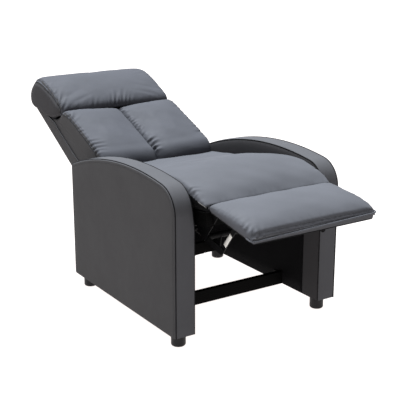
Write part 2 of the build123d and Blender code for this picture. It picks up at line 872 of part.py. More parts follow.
# Back cover: a skin over the rear and the sides, up to the seam with the cushions
hem_radius = 5.0
cover_start = hem_radius + seat_gap
side_seam = ((548.0, -110.0), (474.0, -94.0), (362.0, -84.0), (140.0, -110.0), (-14.0, -121.0))
with BuildPart() as back_cover:
    with BuildSketch(side_plane(-cover_inner_x - skin)):
        blank(on_cover(cover_start, 0), on_cover(post_end, 0), *[on_back(*p) for p in side_seam])
    extrude(amount=2 * (cover_inner_x + skin))
    with BuildSketch(slope_plane(-cover_inner_x, flap_hinge, cover_slope)):
        with Locations((post_end / 2, skin + back_depth_low / 2)):
            Rectangle(2 * post_end, back_depth_low)
    extrude(amount=2 * cover_inner_x, mode=Mode.SUBTRACT)
save(back_cover, "back_cover")

# Rear flap: hangs from a round hem at the foot of the back
flap_low_z = 12.0
flap_half = back_half
flap_thickness = 3.0
batten_height = 18.0
batten_thickness = 7.0
with BuildPart() as rear_flap:
    with BuildSketch(side_plane(-flap_half)):
        with Locations(flap_hinge):
            Circle(hem_radius)
        with Locations((flap_hinge[0], (flap_hinge[1] + flap_low_z) / 2)):
            Rectangle(flap_thickness, flap_hinge[1] - flap_low_z)
        with Locations((flap_hinge[0], flap_low_z + batten_height / 2)):
            Rectangle(batten_thickness, batten_height)
    extrude(amount=2 * flap_half)
save(rear_flap, "rear_flap")

# Seat tail: the cloth between the seat cushion and the foot of the back
tail_in = 12.0
tail_half = seat_half - tail_in
tail_thickness = 3.0
tail_rear_depth = 40.0
tail_gap = 1.6
tail_tuck = 2.8
tail_rise = 12.0
tail_start = on_seat(seat_length + seat_roll + tail_gap, (seat_back_top[1] - seat_rear_low[1]) / 2)
tail_end = on_back(cushion_low + tail_tuck, -tail_rear_depth)
tail_middle = shift(tail_start, (tail_end[0] - tail_start[0]) / 2, tail_rise)
with BuildPart() as seat_tail:
    with BuildSketch(side_plane(-tail_half)):
        with BuildLine():
            ThreePointArc(tail_start, tail_middle, tail_end)
            Line(tail_end, shift(tail_end, 0, tail_thickness))
            ThreePointArc(
                shift(tail_end, 0, tail_thickness),
                shift(tail_middle, 0, tail_thickness),
                shift(tail_start, 0, tail_thickness),
            )
            Line(shift(tail_start, 0, tail_thickness), tail_start)
        make_face()
    extrude(amount=2 * tail_half)
save(seat_tail, "seat_tail")

# Footrest: a wrapped board with a crowned pad, on two angle brackets
board_thickness = 20.0
board_in = 16.0
board_half = arm_inner_x - board_in
board_round = 8.0
board_rear_gap = 2.4
flange_width = 24.0
bracket_screw_places = (50.0, 115.0, 180.0)
bracket_screw_length = 14.0
bracket_screws = []
for side in (-1, 1):
    for along in bracket_screw_places:
        bracket_screws.append((side * (foot_bracket_x - flange_width / 2), -along))
with BuildPart() as footrest_board:
    with BuildSketch(top_plane(board_low, footrest_slope, 0)):
        with Locations((0, -(footrest_length + board_rear_gap) / 2)):
            RectangleRounded(2 * board_half, footrest_length - board_rear_gap, board_round)
    extrude(amount=board_thickness)
    with BuildSketch(top_plane(board_low, footrest_slope, 0)):
        with Locations(*bracket_screws):
            Circle(screw_radius + bolt_gap)
    extrude(amount=bracket_screw_length, mode=Mode.SUBTRACT)
save(footrest_board, "footrest_board")

pad_lap = 2.0
pad_shoulder_in = 31.0
pad_half = board_half + pad_lap
pad_shoulder = pad_half - pad_shoulder_in
pad_crest = (-132.0, 62.0)
pad_rear = (-60.0, 53.0)
pad_front = (-196.0, 54.0)
pad_nose_in = 3.0
pad_lip = 2.0
pad_edge_drop = 18.0
pad_shoulder_drop = 8.0
pad_draw_in = 5.0


def draw_pad(drop, draw_in):
    """One side profile of the footrest pad."""
    rear = (-board_rear_gap - draw_in, board_thickness + pad_lip)
    nose = (-footrest_length + pad_nose_in + draw_in, board_thickness + pad_lip)
    crest = shift(pad_crest, 0, -drop)
    ThreePointArc(rear, shift(pad_rear, 0, -drop), crest)
    ThreePointArc(crest, shift(pad_front, 0, -drop), nose)
    Polyline(nose, (nose[0], board_thickness), (rear[0], board_thickness), rear)


def footrest_plane(x):
    return slope_plane(x, board_low, footrest_slope)


with BuildPart() as footrest_pad:
    loft_across(
        [
            (-pad_half, pad_edge_drop, pad_draw_in),
            (-pad_shoulder, pad_shoulder_drop, 0),
            (-pad_shoulder / 2, pad_shoulder_drop * crown_share, 0),
            (pad_shoulder / 2, pad_shoulder_drop * crown_share, 0),
            (pad_shoulder, pad_shoulder_drop, 0),
            (pad_half, pad_edge_drop, pad_draw_in),
        ],
        footrest_plane,
        draw_pad,
    )
save(footrest_pad, "footrest_pad")

web_depth = 21.0
bracket_start = 16.0
bracket_end = 200.0
bracket_tip = 8.0
rivet_radius = 4.0
rivet_head_radius = 7.0
open_pivot_gap = 0.4
coupler_width = 18.0


def on_board(along, above):
    return on_slope(board_low, footrest_slope, along, above)


with BuildPart() as footrest_bracket:
    with BuildSketch(side_plane(foot_bracket_x)):
        blank(
            on_board(-bracket_start, 0),
            on_board(-bracket_start, -web_depth),
            on_board(-bracket_end / 2, -web_depth),
            on_board(-bracket_end, -bracket_tip),
            on_board(-bracket_end, 0),
        )
        bar(footrest_pivot, footrest_crank, link_width)
    extrude(amount=plate)
    with BuildSketch(slope_plane(foot_bracket_x - flange_width, board_low, footrest_slope)):
        with Locations((-(bracket_start + bracket_end) / 2, -plate / 2)):
            Rectangle(bracket_end - bracket_start, plate)
    extrude(amount=flange_width)
    drill(
        foot_bracket_x - cut_over,
        [footrest_pivot],
        footrest_pin_radius + fit_gap,
        plate + 2 * cut_over,
    )
    drill(foot_bracket_x - cut_over, [footrest_crank], rivet_radius + bolt_gap, plate + 2 * cut_over)
    with BuildSketch(top_plane(board_low, footrest_slope, -plate - cut_over)):
        with Locations(*bracket_screws[len(bracket_screw_places):]):
            Circle(screw_radius + bolt_gap)
    extrude(amount=plate + 2 * cut_over, mode=Mode.SUBTRACT)
save_pair(footrest_bracket, "footrest_bracket")

with BuildPart() as footrest_screws:
    with BuildSketch(top_plane(board_low, footrest_slope, -plate - screw_head)):
        with Locations(*bracket_screws):
            Circle(screw_head_radius)
    extrude(amount=screw_head)
    with BuildSketch(top_plane(board_low, footrest_slope, -plate)):
        with Locations(*bracket_screws):
            Circle(screw_radius)
    extrude(amount=plate + bracket_screw_length - cut_over)
save(footrest_screws, "footrest_screws")

# Drive: a torque tube that joins the two drive links and carries the spring cranks
tube_radius = 10.0
tab_in = 57.5
tab_x = foot_bracket_x - tab_in
tab_thickness = 4.0
tab_width = 22.0
tab_reach = 45.0
spring_off_tab = 8.0
spring_x = tab_x + spring_off_tab
hook_thickness = 3.0
peg_radius = 4.0
peg_end_x = spring_x + hook_thickness
tab_angle = degrees(atan2(-crank_fall, -crank_run)) + quarter_turn
tab_place = shift(
    drive_pivot, tab_reach * cos(radians(tab_angle)), tab_reach * sin(radians(tab_angle))
)
with BuildPart() as torque_half:
    discs(0, [drive_pivot], tube_radius, foot_bracket_x)
    discs(foot_bracket_x, [drive_pivot], journal_radius, seat_rail_x - foot_bracket_x)
    with BuildSketch(side_plane(tab_x)):
        bar(drive_pivot, tab_place, tab_width)
    extrude(amount=tab_thickness)
    discs(tab_x, [tab_place], peg_radius, peg_end_x - tab_x)
save_both(torque_half, "torque_tube")

with BuildPart() as drive_link:
    with BuildSketch(side_plane(foot_bracket_x)):
        bar(drive_pivot, drive_crank, drive_width)
    extrude(amount=plate)
    drill(foot_bracket_x - cut_over, [drive_pivot], journal_radius + bolt_gap, plate + 2 * cut_over)
    drill(foot_bracket_x - cut_over, [drive_crank], rivet_radius + bolt_gap, plate + 2 * cut_over)
save_pair(drive_link, "drive_link")

with BuildPart() as coupler:
    with BuildSketch(side_plane(coupler_x)):
        bar(footrest_crank, drive_crank, coupler_width)
    extrude(amount=plate)
    drill(coupler_x - cut_over, [footrest_crank], rivet_radius + fit_gap, plate + 2 * cut_over)
    drill(coupler_x - cut_over, [drive_crank], rivet_radius + open_pivot_gap, plate + 2 * cut_over)
save_pair(coupler, "coupler")


def rivets(place):
    """A pair of rivets with heads inside the couplers."""
    with BuildPart() as rivet:
        discs(coupler_x - plate - seat_gap, [place], rivet_head_radius, plate)
        discs(
            coupler_x - seat_gap,
            [place],
            rivet_radius,
            foot_bracket_x + plate - coupler_x + seat_gap,
        )
    return rivet


save_both(rivets(footrest_crank), "footrest_rivets")
save_both(rivets(drive_crank), "drive_rivets")

# Tension springs from the cranks to the rod, wound on a slope in the side view
spring_radius = 6.8
wire_radius = 1.2
spring_turns = 10
hook_length = 20.0
plug_length = 10.0
plug_radius = spring_radius - wire_radius - seat_gap
eye_wall = 4.0
strip_width = 6.0
spring_slope = degrees(atan2(rod_place[1] - tab_place[1], rod_place[0] - tab_place[0]))
spring_span = dist(tab_place, rod_place)
coil_start = hook_length
coil_end = spring_span - hook_length


def coil_point(turns):
    """A point of the coil and its direction, in (along, right, up) of the spring."""
    pitch = (coil_end - coil_start) / spring_turns
    angle = 2 * pi * turns
    climb = pitch / (2 * pi * spring_radius)
    size = sqrt(1 + climb * climb)
    point = (coil_start + pitch * turns, spring_radius * sin(angle), spring_radius * cos(angle))
    heading = (climb / size, cos(angle) / size, -sin(angle) / size)
    return Vector(*point), Vector(*heading)


def spring_to_part(vector):
    """From (along, right, up) of the spring to a direction of the part."""
    c, s = cos(radians(spring_slope)), sin(radians(spring_slope))
    along, right, up = vector.X, vector.Y, vector.Z
    return Vector(right, along * c - up * s, along * s + up * c)


def coil_arcs(first, last):
    """Two tangent arcs that follow the coil over half a turn."""
    start, start_heading = coil_point(first)
    end, end_heading = coil_point(last)
    chord = end - start
    both = start_heading + end_heading
    share = 2 * (1 - start_heading.dot(end_heading))
    reach = (sqrt(chord.dot(both) ** 2 + share * chord.dot(chord)) - chord.dot(both)) / share
    before, after = start + start_heading * reach, end - end_heading * reach
    return start, start_heading, (before + after) * 0.5, (after - before).normalized(), end


spring_origin = Vector(spring_x, mid_y + tab_place[0], tab_place[1])
with BuildPart() as spring:
    with BuildLine() as coil:
        for half_turn in range(2 * spring_turns):
            arcs = coil_arcs(half_turn / 2, (half_turn + 1) / 2)
            start, heading, middle, middle_heading, end = [spring_to_part(v) for v in arcs]
            TangentArc(start + spring_origin, middle + spring_origin, tangent=heading)
            TangentArc(middle + spring_origin, end + spring_origin, tangent=middle_heading)
    wire_start = coil.line @ 0
    with BuildSketch(Plane(origin=wire_start, z_dir=coil.line % 0)):
        Circle(wire_radius)
    sweep()
save_both(spring, "tension_springs")

turn_steps = 24
samples = [coil_point(step / turn_steps)[0] for step in range(turn_steps * spring_turns + 1)]
least = min(
    (samples[i] - samples[j]).length
    for i in range(len(samples))
    for j in range(i + turn_steps // 2 + 1, min(i + 2 * turn_steps, len(samples)))
)
print("least gap between the spring's turns", round(least - 2 * wire_radius, 2))

with BuildPart() as spring_hook:
    for place, peg, sign, coil_edge in (
        (tab_place, peg_radius, 1, coil_start),
        (rod_place, rod_radius, -1, spring_span - coil_end),
    ):
        neck = on_slope(place, spring_slope, sign * (coil_edge - wire_radius), 0)
        with BuildSketch(side_plane(spring_x - hook_thickness / 2)):
            bar(place, neck, strip_width)
            with Locations(place):
                Circle(peg + seat_gap + eye_wall)
                Circle(peg + seat_gap, mode=Mode.SUBTRACT)
        extrude(amount=hook_thickness)
        run = (0, sign * cos(radians(spring_slope)), sign * sin(radians(spring_slope)))
        with BuildSketch(Plane(origin=(spring_x, mid_y + neck[0], neck[1]), z_dir=run)):
            Circle(plug_radius)
        extrude(amount=plug_length)
save_both(spring_hook, "spring_hooks")
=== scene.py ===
import json
from functools import partial
from math import cos, pi, radians, sin

import bmesh
import bpy
import numpy as np
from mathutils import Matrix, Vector
from mathutils.bvhtree import BVHTree


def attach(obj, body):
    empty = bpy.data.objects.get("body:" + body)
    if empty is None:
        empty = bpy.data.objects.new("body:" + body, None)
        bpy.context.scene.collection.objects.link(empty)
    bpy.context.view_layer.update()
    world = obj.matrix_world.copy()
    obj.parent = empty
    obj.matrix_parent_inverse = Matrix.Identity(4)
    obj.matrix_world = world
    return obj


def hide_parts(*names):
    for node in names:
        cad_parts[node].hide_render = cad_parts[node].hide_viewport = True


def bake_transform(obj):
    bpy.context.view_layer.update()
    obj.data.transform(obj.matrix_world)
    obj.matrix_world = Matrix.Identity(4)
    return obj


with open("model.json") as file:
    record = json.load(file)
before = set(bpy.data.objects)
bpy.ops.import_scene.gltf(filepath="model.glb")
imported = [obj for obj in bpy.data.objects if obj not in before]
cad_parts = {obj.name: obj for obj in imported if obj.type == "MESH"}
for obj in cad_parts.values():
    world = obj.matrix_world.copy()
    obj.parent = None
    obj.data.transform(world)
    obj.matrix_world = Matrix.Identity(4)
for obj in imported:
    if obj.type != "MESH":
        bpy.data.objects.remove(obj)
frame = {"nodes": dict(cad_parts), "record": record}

scene = bpy.context.scene
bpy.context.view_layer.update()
sides = ((-1, "left"), (1, "right"))
print("recliner: frame loaded")

# Side views are in millimetres (y, z), with y counted from midway between the feet.
frameShift = -0.129082
backLow = (300.0, 487.0)          # lower end of the back's front line
backSlope = 22.4
flapHinge = (335.087, 289.033)    # lower end of the rear cover
coverSlope = 29.4
boardLow = (-413.0, 459.0)        # rear lower edge of the footrest board
boardSlope = 9.8


def toFrame(points):
    placed = np.array(points, float) / 1000
    placed[..., 1] += frameShift
    return placed


def alongSlope(origin, slope, points):
    c, s = cos(radians(slope)), sin(radians(slope))
    points = np.array(points, float)
    u, n = points[..., 0], points[..., 1]
    return np.stack([origin[0] + u * c - n * s, origin[1] + u * s + n * c], -1)


def besideSlope(origin, slope, places):
    # the reverse of alongSlope
    y, z = np.moveaxis(np.array(places, float) - np.array(origin), -1, 0)
    c, s = cos(radians(slope)), sin(radians(slope))
    return np.stack([y * c + z * s, z * c - y * s], -1)


onBack = partial(alongSlope, backLow, backSlope)
onCover = partial(alongSlope, flapHinge, coverSlope)
onBoard = partial(alongSlope, boardLow, boardSlope)


def coverToBack(points):
    return besideSlope(backLow, backSlope, onCover(points))


def curveThrough(points, count):
    # a smooth line through the points, evenly divided
    p = np.array(points, float)
    t = np.r_[0, np.cumsum(np.linalg.norm(np.diff(p, axis=0), axis=1) ** 0.5)]
    slope = np.gradient(p, t, axis=0)
    fine = np.linspace(0, t[-1], 40 * len(p))
    i = np.clip(np.searchsorted(t, fine, side="right") - 1, 0, len(p) - 2)
    span = (t[i + 1] - t[i])[:, None]
    s = (fine - t[i])[:, None] / span
    line = (
        (2 * s**3 - 3 * s**2 + 1) * p[i]
        + (s**3 - 2 * s**2 + s) * span * slope[i]
        + (3 * s**2 - 2 * s**3) * p[i + 1]
        + (s**3 - s**2) * span * slope[i + 1]
    )
    return evenly(line, count)


def evenly(line, count):
    line = np.array(line, float)
    run = np.r_[0, np.cumsum(np.linalg.norm(np.diff(line, axis=0), axis=1))]
    places = np.linspace(0, run[-1], count)
    return np.stack([np.interp(places, run, column) for column in line.T], -1)


def fillInputs(tree, node, inputs):
    # each input takes a value, or is joined to a socket
    for name, value in inputs.items():
        if isinstance(value, bpy.types.NodeSocket):
            tree.links.new(value, node.inputs[name])
        else:
            node.inputs[name].default_value = value


def addNode(tree, kind, inputs=(), **options):
    node = tree.nodes.new(kind)
    for name, value in options.items():
        setattr(node, name, value)
    fillInputs(tree, node, dict(inputs))
    return node


def startMaterial(name):
    material = bpy.data.materials.new(name)
    material.use_nodes = True
    tree = material.node_tree
    return material, tree, addNode(tree, "ShaderNodeTexCoord").outputs["Object"]


def painted(material, inputs):
    tree = material.node_tree
    fillInputs(tree, tree.nodes["Principled BSDF"], inputs)
    return material


def noiseOn(tree, coords, scale, detail=3.0):
    noise = {"Vector": coords, "Scale": scale, "Detail": detail, "Roughness": 0.5}
    return addNode(tree, "ShaderNodeTexNoise", noise).outputs["Fac"]


def rangeOf(tree, value, low, high):
    # noise lies mostly between 0.3 and 0.7
    spread = {"Value": value, "From Min": 0.3, "From Max": 0.7, "To Min": low, "To Max": high}
    return addNode(tree, "ShaderNodeMapRange", spread).outputs["Result"]


def product(tree, first, second):
    return addNode(tree, "ShaderNodeMath", {0: first, 1: second}, operation="MULTIPLY").outputs[0]


def mixColours(tree, share, first, second):
    first, second = ((*c, 1.0) if isinstance(c, tuple) else c for c in (first, second))
    inputs = {0: share, 6: first, 7: second}
    return addNode(tree, "ShaderNodeMix", inputs, data_type="RGBA").outputs[2]


def bumpFrom(tree, height, distance, strength, under=None):
    inputs = {"Height": height, "Distance": distance, "Strength": strength}
    if under:
        inputs["Normal"] = under
    return addNode(tree, "ShaderNodeBump", inputs).outputs["Normal"]


def leather(name, light, dark, rumpled=0.4, shine=0.05):
    # coated leather: fine pebble grain, slow rumples, and painted shade that darkens its folds
    material, tree, coords = startMaterial(name)
    mottle = rangeOf(tree, noiseOn(tree, coords, 9.0, 4.0), 0.0, 1.0)
    # painted shade: this point attribute darkens the colour in creases and gathers
    foldShade = addNode(tree, "ShaderNodeAttribute", attribute_name="foldShade").outputs["Fac"]
    tint = mixColours(tree, mottle, light, dark)
    shade = tuple(0.25 * part for part in dark)
    grain = addNode(tree, "ShaderNodeTexVoronoi", {"Vector": coords, "Scale": 620.0})
    rumple = bumpFrom(tree, noiseOn(tree, coords, 22.0, 2.0), 0.0016, rumpled)
    fine = bumpFrom(tree, noiseOn(tree, coords, 210.0, 2.0), 0.0003, 0.3 * rumpled, rumple)
    return painted(material, {
        "Base Color": mixColours(tree, product(tree, foldShade, 0.4), tint, shade),
        "Normal": bumpFrom(tree, grain.outputs["Distance"], 0.0002, 0.35, fine),
        "Roughness": rangeOf(tree, noiseOn(tree, coords, 40.0), 0.56, 0.66),
        "Specular IOR Level": shine,
    })


def woven(name, colour, thread, pitch):
    # weave from two crossed waves; the slanted one keeps folds from drawing rings
    material, tree, coords = startMaterial(name)
    wave = {"Vector": coords, "Scale": 0.31 / pitch, "Distortion": 0.4}
    cross = product(tree, *(
        addNode(tree, "ShaderNodeTexWave", wave, bands_direction=direction).outputs["Fac"]
        for direction in ("X", "DIAGONAL")
    ))
    return painted(material, {
        "Base Color": mixColours(tree, cross, colour, thread),
        "Normal": bumpFrom(tree, cross, 0.0004, 0.6),
        "Roughness": 0.92, "Specular IOR Level": 0.06,
    })


def hard(name, colour, second, patches, fine, bump, roughness, shine, metallic=0.0):
    # patches of a second colour, and fine grain in the surface and its gloss
    material, tree, coords = startMaterial(name)
    patch = rangeOf(tree, noiseOn(tree, coords, *patches), 0.0, 1.0)
    grain = noiseOn(tree, coords, *fine)
    return painted(material, {
        "Base Color": mixColours(tree, patch, colour, second),
        "Normal": bumpFrom(tree, grain, *bump),
        "Roughness": rangeOf(tree, grain, *roughness),
        "Specular IOR Level": shine, "Metallic": metallic,
    })


def steel(name, colour, metallic, roughness, streaks, shine=0.5):
    darker = tuple(0.72 * part for part in colour)
    gloss = (roughness - 0.08, roughness + 0.1)
    streaks = (streaks, 3.0)
    return hard(name, colour, darker, (34.0, 5.0), streaks, (0.00015, 0.4), gloss, shine, metallic)


def moulded(name, colour, roughness, shine=0.4):
    paler = tuple(min(1.0, 1.35 * part + 0.004) for part in colour)
    gloss = (roughness - 0.06, roughness + 0.06)
    return hard(name, colour, paler, (60.0, 4.0), (900.0, 2.0), (0.0001, 0.5), gloss, shine)


def timber(name, pale, ring, roughness, shine=0.4):
    material, tree, coords = startMaterial(name)
    stretch = addNode(tree, "ShaderNodeMapping", {"Vector": coords, "Scale": (30.0, 3.0, 30.0)})
    rings = addNode(tree, "ShaderNodeTexWave", {
        "Vector": stretch.outputs["Vector"], "Scale": 1.6, "Distortion": 5.0, "Detail": 3.0,
    }, wave_type="RINGS").outputs["Fac"]
    return painted(material, {
        "Base Color": mixColours(tree, rings, pale, ring),
        "Normal": bumpFrom(tree, rings, 0.0003, 0.4),
        "Roughness": roughness, "Specular IOR Level": shine,
    })


greyLeather = leather("grey leather", (0.086, 0.089, 0.101), (0.079, 0.082, 0.093))
# painted shade: the grey leather made darker for the back's cushions and pillow
shadedBackLeather = leather("shaded back grey leather", (0.073, 0.076, 0.089), (0.067, 0.07, 0.081))
tautLeather = leather(
    "taut grey leather", (0.083, 0.084, 0.091), (0.078, 0.079, 0.086), rumpled=0.12, shine=0.02)
# painted shade: a darker, less blue copy of the grey leather for faces turned from the light
shadedSideLeather = leather(
    "shaded side leather", (0.064, 0.063, 0.065), (0.059, 0.058, 0.06), rumpled=0.3, shine=0.02)
# painted shade: the darkest copy, for the arms' inner sides and the pillow's end panels
shadedInnerLeather = leather(
    "shaded inner side leather", (0.051, 0.05, 0.053), (0.047, 0.046, 0.049), rumpled=0.3, shine=0.02)
# near-black cord on the seams: partly dark piping, partly painted shadow in the seam
darkPipingAndShadow = leather("dark piping and seam shadow", (0.012, 0.012, 0.013), (0.009, 0.009, 0.01))
# a pale welt for the seat's side seam, its paleness partly a painted highlight
highlightWelt = leather("pale welt and painted highlight", (0.23, 0.225, 0.22), (0.19, 0.185, 0.18), rumpled=0.1)
seamThread = woven("seam thread", (0.05, 0.052, 0.058), (0.075, 0.078, 0.085), 0.0004)
blackLining = woven("black lining", (0.0035, 0.0035, 0.004), (0.008, 0.008, 0.009), 0.0011)
strapWebbing = woven("strap webbing", (0.012, 0.012, 0.013), (0.03, 0.03, 0.032), 0.0022)
blackSteel = steel("black steel", (0.006, 0.006, 0.0065), 0.0, 0.5, 300.0, shine=0.07)
zincSteel = steel("zinc steel", (0.42, 0.42, 0.43), 1.0, 0.34, 500.0)
paleTimber = timber("pale timber", (0.42, 0.29, 0.16), (0.32, 0.2, 0.1), 0.7)
blackTimber = timber("black timber", (0.003, 0.003, 0.003), (0.005, 0.005, 0.005), 0.6, shine=0.02)
footPlastic = moulded("foot plastic", (0.006, 0.006, 0.007), 0.46, shine=0.25)
nylon = moulded("nylon", (0.62, 0.6, 0.55), 0.5)
blankCard = moulded("blank card", (0.66, 0.65, 0.62), 0.7)
print("recliner: materials made")


def seamTree(name):
    # the start of a node tree that lays piping or stitches along a seam
    tree = bpy.data.node_groups.new(name, "GeometryNodeTree")
    for label, kind in (("Geometry", "Geometry"), ("Radius", "Float"), ("Spacing", "Float"),
                        ("Length", "Float"), ("Sides", "Int"), ("Material", "Material")):
        tree.interface.new_socket(label, in_out="INPUT", socket_type=f"NodeSocket{kind}")
    tree.interface.new_socket("Geometry", in_out="OUTPUT", socket_type="NodeSocketGeometry")
    start = addNode(tree, "NodeGroupInput").outputs
    line = addNode(tree, "GeometryNodeMeshToCurve", {"Mesh": start["Geometry"]})
    even = addNode(tree, "GeometryNodeResampleCurve", {
        "Curve": line.outputs["Curve"], "Length": start["Spacing"]}, mode="LENGTH")
    return tree, start, even.outputs["Curve"]


def endTree(tree, start, geometry):
    real = addNode(tree, "GeometryNodeRealizeInstances", {"Geometry": geometry})
    paint = addNode(tree, "GeometryNodeSetMaterial", {
        "Geometry": real.outputs["Geometry"], "Material": start["Material"]})
    addNode(tree, "NodeGroupOutput", {"Geometry": paint.outputs["Geometry"]})
    return tree


def makePipingTree():
    tree, start, line = seamTree("piping along a seam")
    ring = addNode(tree, "GeometryNodeCurvePrimitiveCircle", {
        "Resolution": start["Sides"], "Radius": start["Radius"]})
    tube = addNode(tree, "GeometryNodeCurveToMesh", {
        "Curve": line, "Profile Curve": ring.outputs["Curve"], "Fill Caps": True})
    smooth = addNode(tree, "GeometryNodeSetShadeSmooth", {"Geometry": tube.outputs["Mesh"]})
    return endTree(tree, start, smooth.outputs["Geometry"])


def makeStitchTree():
    tree, start, line = seamTree("stitches along a seam")
    points = addNode(tree, "GeometryNodeCurveToPoints", {"Curve": line}, mode="EVALUATED").outputs
    thread = addNode(tree, "GeometryNodeMeshCylinder", {
        "Vertices": start["Sides"], "Radius": start["Radius"], "Depth": start["Length"]})
    place = addNode(tree, "GeometryNodeInstanceOnPoints", {
        "Points": points["Points"], "Rotation": points["Rotation"],
        "Instance": thread.outputs["Mesh"]})
    return endTree(tree, start, place.outputs["Instances"])


pipingTree = makePipingTree()
stitchTree = makeStitchTree()


def link(obj):
    scene.collection.objects.link(obj)
    return obj


def meshPiece(name, points, faces, *materials, merge=0.0002):
    mesh = bpy.data.meshes.new(name)
    mesh.from_pydata([tuple(p) for p in np.array(points, float).reshape(-1, 3)], [], faces)
    shape = bmesh.new()
    shape.from_mesh(mesh)
    bmesh.ops.remove_doubles(shape, verts=shape.verts, dist=merge)
    bmesh.ops.dissolve_degenerate(shape, edges=shape.edges, dist=merge / 4)
    bmesh.ops.recalc_face_normals(shape, faces=shape.faces)
    shape.to_mesh(mesh)
    shape.free()
    mesh.polygons.foreach_set("use_smooth", [True] * len(mesh.polygons))
    for material in materials:
        mesh.materials.append(material)
    return link(bpy.data.objects.new(name, mesh))


def bake(obj):
    # the evaluated shape as a plain mesh, with no modifier left
    view = bpy.context.evaluated_depsgraph_get()
    mesh = bpy.data.meshes.new_from_object(obj.evaluated_get(view), depsgraph=view)
    obj.modifiers.clear()
    old, obj.data = obj.data, mesh
    bpy.data.meshes.remove(old)
    return obj


def remade(obj, name, kind, **settings):
    modifier = obj.modifiers.new(name, kind)
    for key, value in settings.items():
        setattr(modifier, key, value)
    return bake(obj)


def alongSeams(name, tree, lines, settings, material):
    points, edges = [], []
    for line in lines:
        first = len(points)
        points += [tuple(p) for p in line]
        edges += [(i, i + 1) for i in range(first, len(points) - 1)]
    mesh = bpy.data.meshes.new(name)
    mesh.from_pydata(points, edges, [])
    obj = link(bpy.data.objects.new(name, mesh))
    modifier = obj.modifiers.new(tree.name, "NODES")
    modifier.node_group = tree
    values = {**settings, "Material": material}
    for item in tree.interface.items_tree:
        if item.in_out == "INPUT" and item.name in values:
            modifier[item.identifier] = values[item.name]
    return bake(obj)


def laidOn(name, line, lift, reach=0.014):
    # a line in millimetres, moved onto the nearest surface of the named piece
    view = bpy.context.evaluated_depsgraph_get()
    surface = BVHTree.FromObject(bpy.data.objects[name], view)
    hits = [surface.find_nearest(Vector(spot)) for spot in toFrame(line)]
    soft = np.array([near + facing * lift for near, facing, _, gap in hits if gap < reach])
    for _ in range(3):
        soft[1:-1] = 0.25 * soft[:-2] + 0.5 * soft[1:-1] + 0.25 * soft[2:]
    return soft


def gridFaces(rows, columns, around=False):
    ids = np.arange(rows * columns).reshape(rows, columns)
    if around:
        ids = np.column_stack([ids, ids[:, 0]])
    corners = np.stack([ids[:-1, :-1], ids[:-1, 1:], ids[1:, 1:], ids[1:, :-1]], -1)
    return [tuple(face) for face in corners.reshape(-1, 4).tolist()]


def loftPiece(name, loops, *materials):
    # closed loops from left to right, with flat ends
    loops = np.array(loops)
    rows, columns = loops.shape[:2]
    faces = gridFaces(rows, columns, around=True)
    faces.append(tuple(range(columns)))
    faces.append(tuple(range((rows - 1) * columns, rows * columns)))
    return meshPiece(name, toFrame(loops), faces, *materials)


def closedSheet(name, front, rear, material):
    # two facing grids of points, joined round their borders
    rows, columns = front.shape[:2]
    count = rows * columns
    grid = gridFaces(rows, columns)
    faces = grid + [tuple(i + count for i in reversed(face)) for face in grid]
    border = list(range(columns)) + [r * columns + columns - 1 for r in range(1, rows)]
    border += [(rows - 1) * columns + c for c in range(columns - 2, -1, -1)]
    border += [r * columns for r in range(rows - 2, 0, -1)]
    for first, last in zip(border, border[1:] + border[:1]):
        faces.append((first, last, last + count, first + count))
    points = np.concatenate([front.reshape(-1, 3), rear.reshape(-1, 3)])
    return meshPiece(name, toFrame(points), faces, material, merge=0.00005)


def vectorsOf(items, what):
    flat = np.empty(len(items) * 3, np.float32)
    items.foreach_get(what, flat)
    return flat.reshape(-1, 3).astype(float)


def pointsOf(obj):
    return vectorsOf(obj.data.vertices, "co")


def normalsOf(obj):
    return vectorsOf(obj.data.vertex_normals, "vector")


def setPoints(obj, points):
    obj.data.vertices.foreach_set("co", np.array(points, np.float32).ravel())
    obj.data.update()


def millimetres(points):
    back = np.array(points) * 1000
    back[..., 1] -= frameShift * 1000
    return back


def smoothStep(value, low, high):
    t = np.clip((value - low) / (high - low), 0, 1)
    return t * t * (3 - 2 * t)


def inflate(obj, cushion, held, lively=None):
    # remesh, soften, swell by cloth under pressure with the seams held, then subdivide
    remade(obj, "even mesh", "REMESH", mode="VOXEL", voxel_size=cushion["meshSize"])
    remade(obj, "soften", "SMOOTH", factor=0.5, iterations=cushion["softening"])
    base, away = pointsOf(obj), normalsOf(obj)
    hold = np.clip(held(millimetres(base), away), 0, 1)
    group = obj.vertex_groups.new(name="held")
    for level in range(1, 11):
        chosen = np.nonzero(np.round(hold * 10).astype(int) == level)[0]
        group.add(chosen.tolist(), level / 10, "REPLACE")
    cloth = obj.modifiers.new("swell", "CLOTH").settings
    cloth.vertex_group_mass = "held"
    cloth.use_pressure = True
    cloth.uniform_pressure_force = cushion["pressure"]
    cloth.effector_weights.gravity = 0
    cloth.quality = cushion["quality"]
    cloth.bending_stiffness = cushion["stiffness"]
    for step in range(1, cushion["steps"] + 1):
        scene.frame_set(step)
        bpy.context.evaluated_depsgraph_get()
    bake(obj)
    scene.frame_set(1)
    obj.vertex_groups.clear()
    move = pointsOf(obj) - base
    outward = (move * away).sum(1)
    outward = np.where(outward > 0, outward, 0.5 * outward)
    outward *= cushion["rise"] / 1000 / max(np.percentile(outward, 95), 1e-5)
    outward = np.minimum(outward, cushion["cap"] / 1000)
    even = (1 - hold) * cushion["rise"] / 1000
    relief = cushion["relief"] * (lively(millimetres(base)) if lively else 1.0)
    reach = even + relief * (outward - even)
    swollen = base + away * reach[:, None]
    setPoints(obj, swollen)
    remade(obj, "finer", "SUBSURF", levels=1, render_levels=1)
    obj.data.polygons.foreach_set("use_smooth", [True] * len(obj.data.polygons))
    return obj


def segmentDistance(points, first, last):
    first, last = np.array(first, float), np.array(last, float)
    way = last - first
    t = np.clip((points - first) @ way / max(way @ way, 1e-12), 0, 1)
    return np.linalg.norm(points - (first + t[:, None] * way), axis=1), t


def distanceToLine(points, line):
    near = np.full(len(points), 1e9)
    for first, last in zip(line[:-1], line[1:]):
        near = np.minimum(near, segmentDistance(points, first, last)[0])
    return near


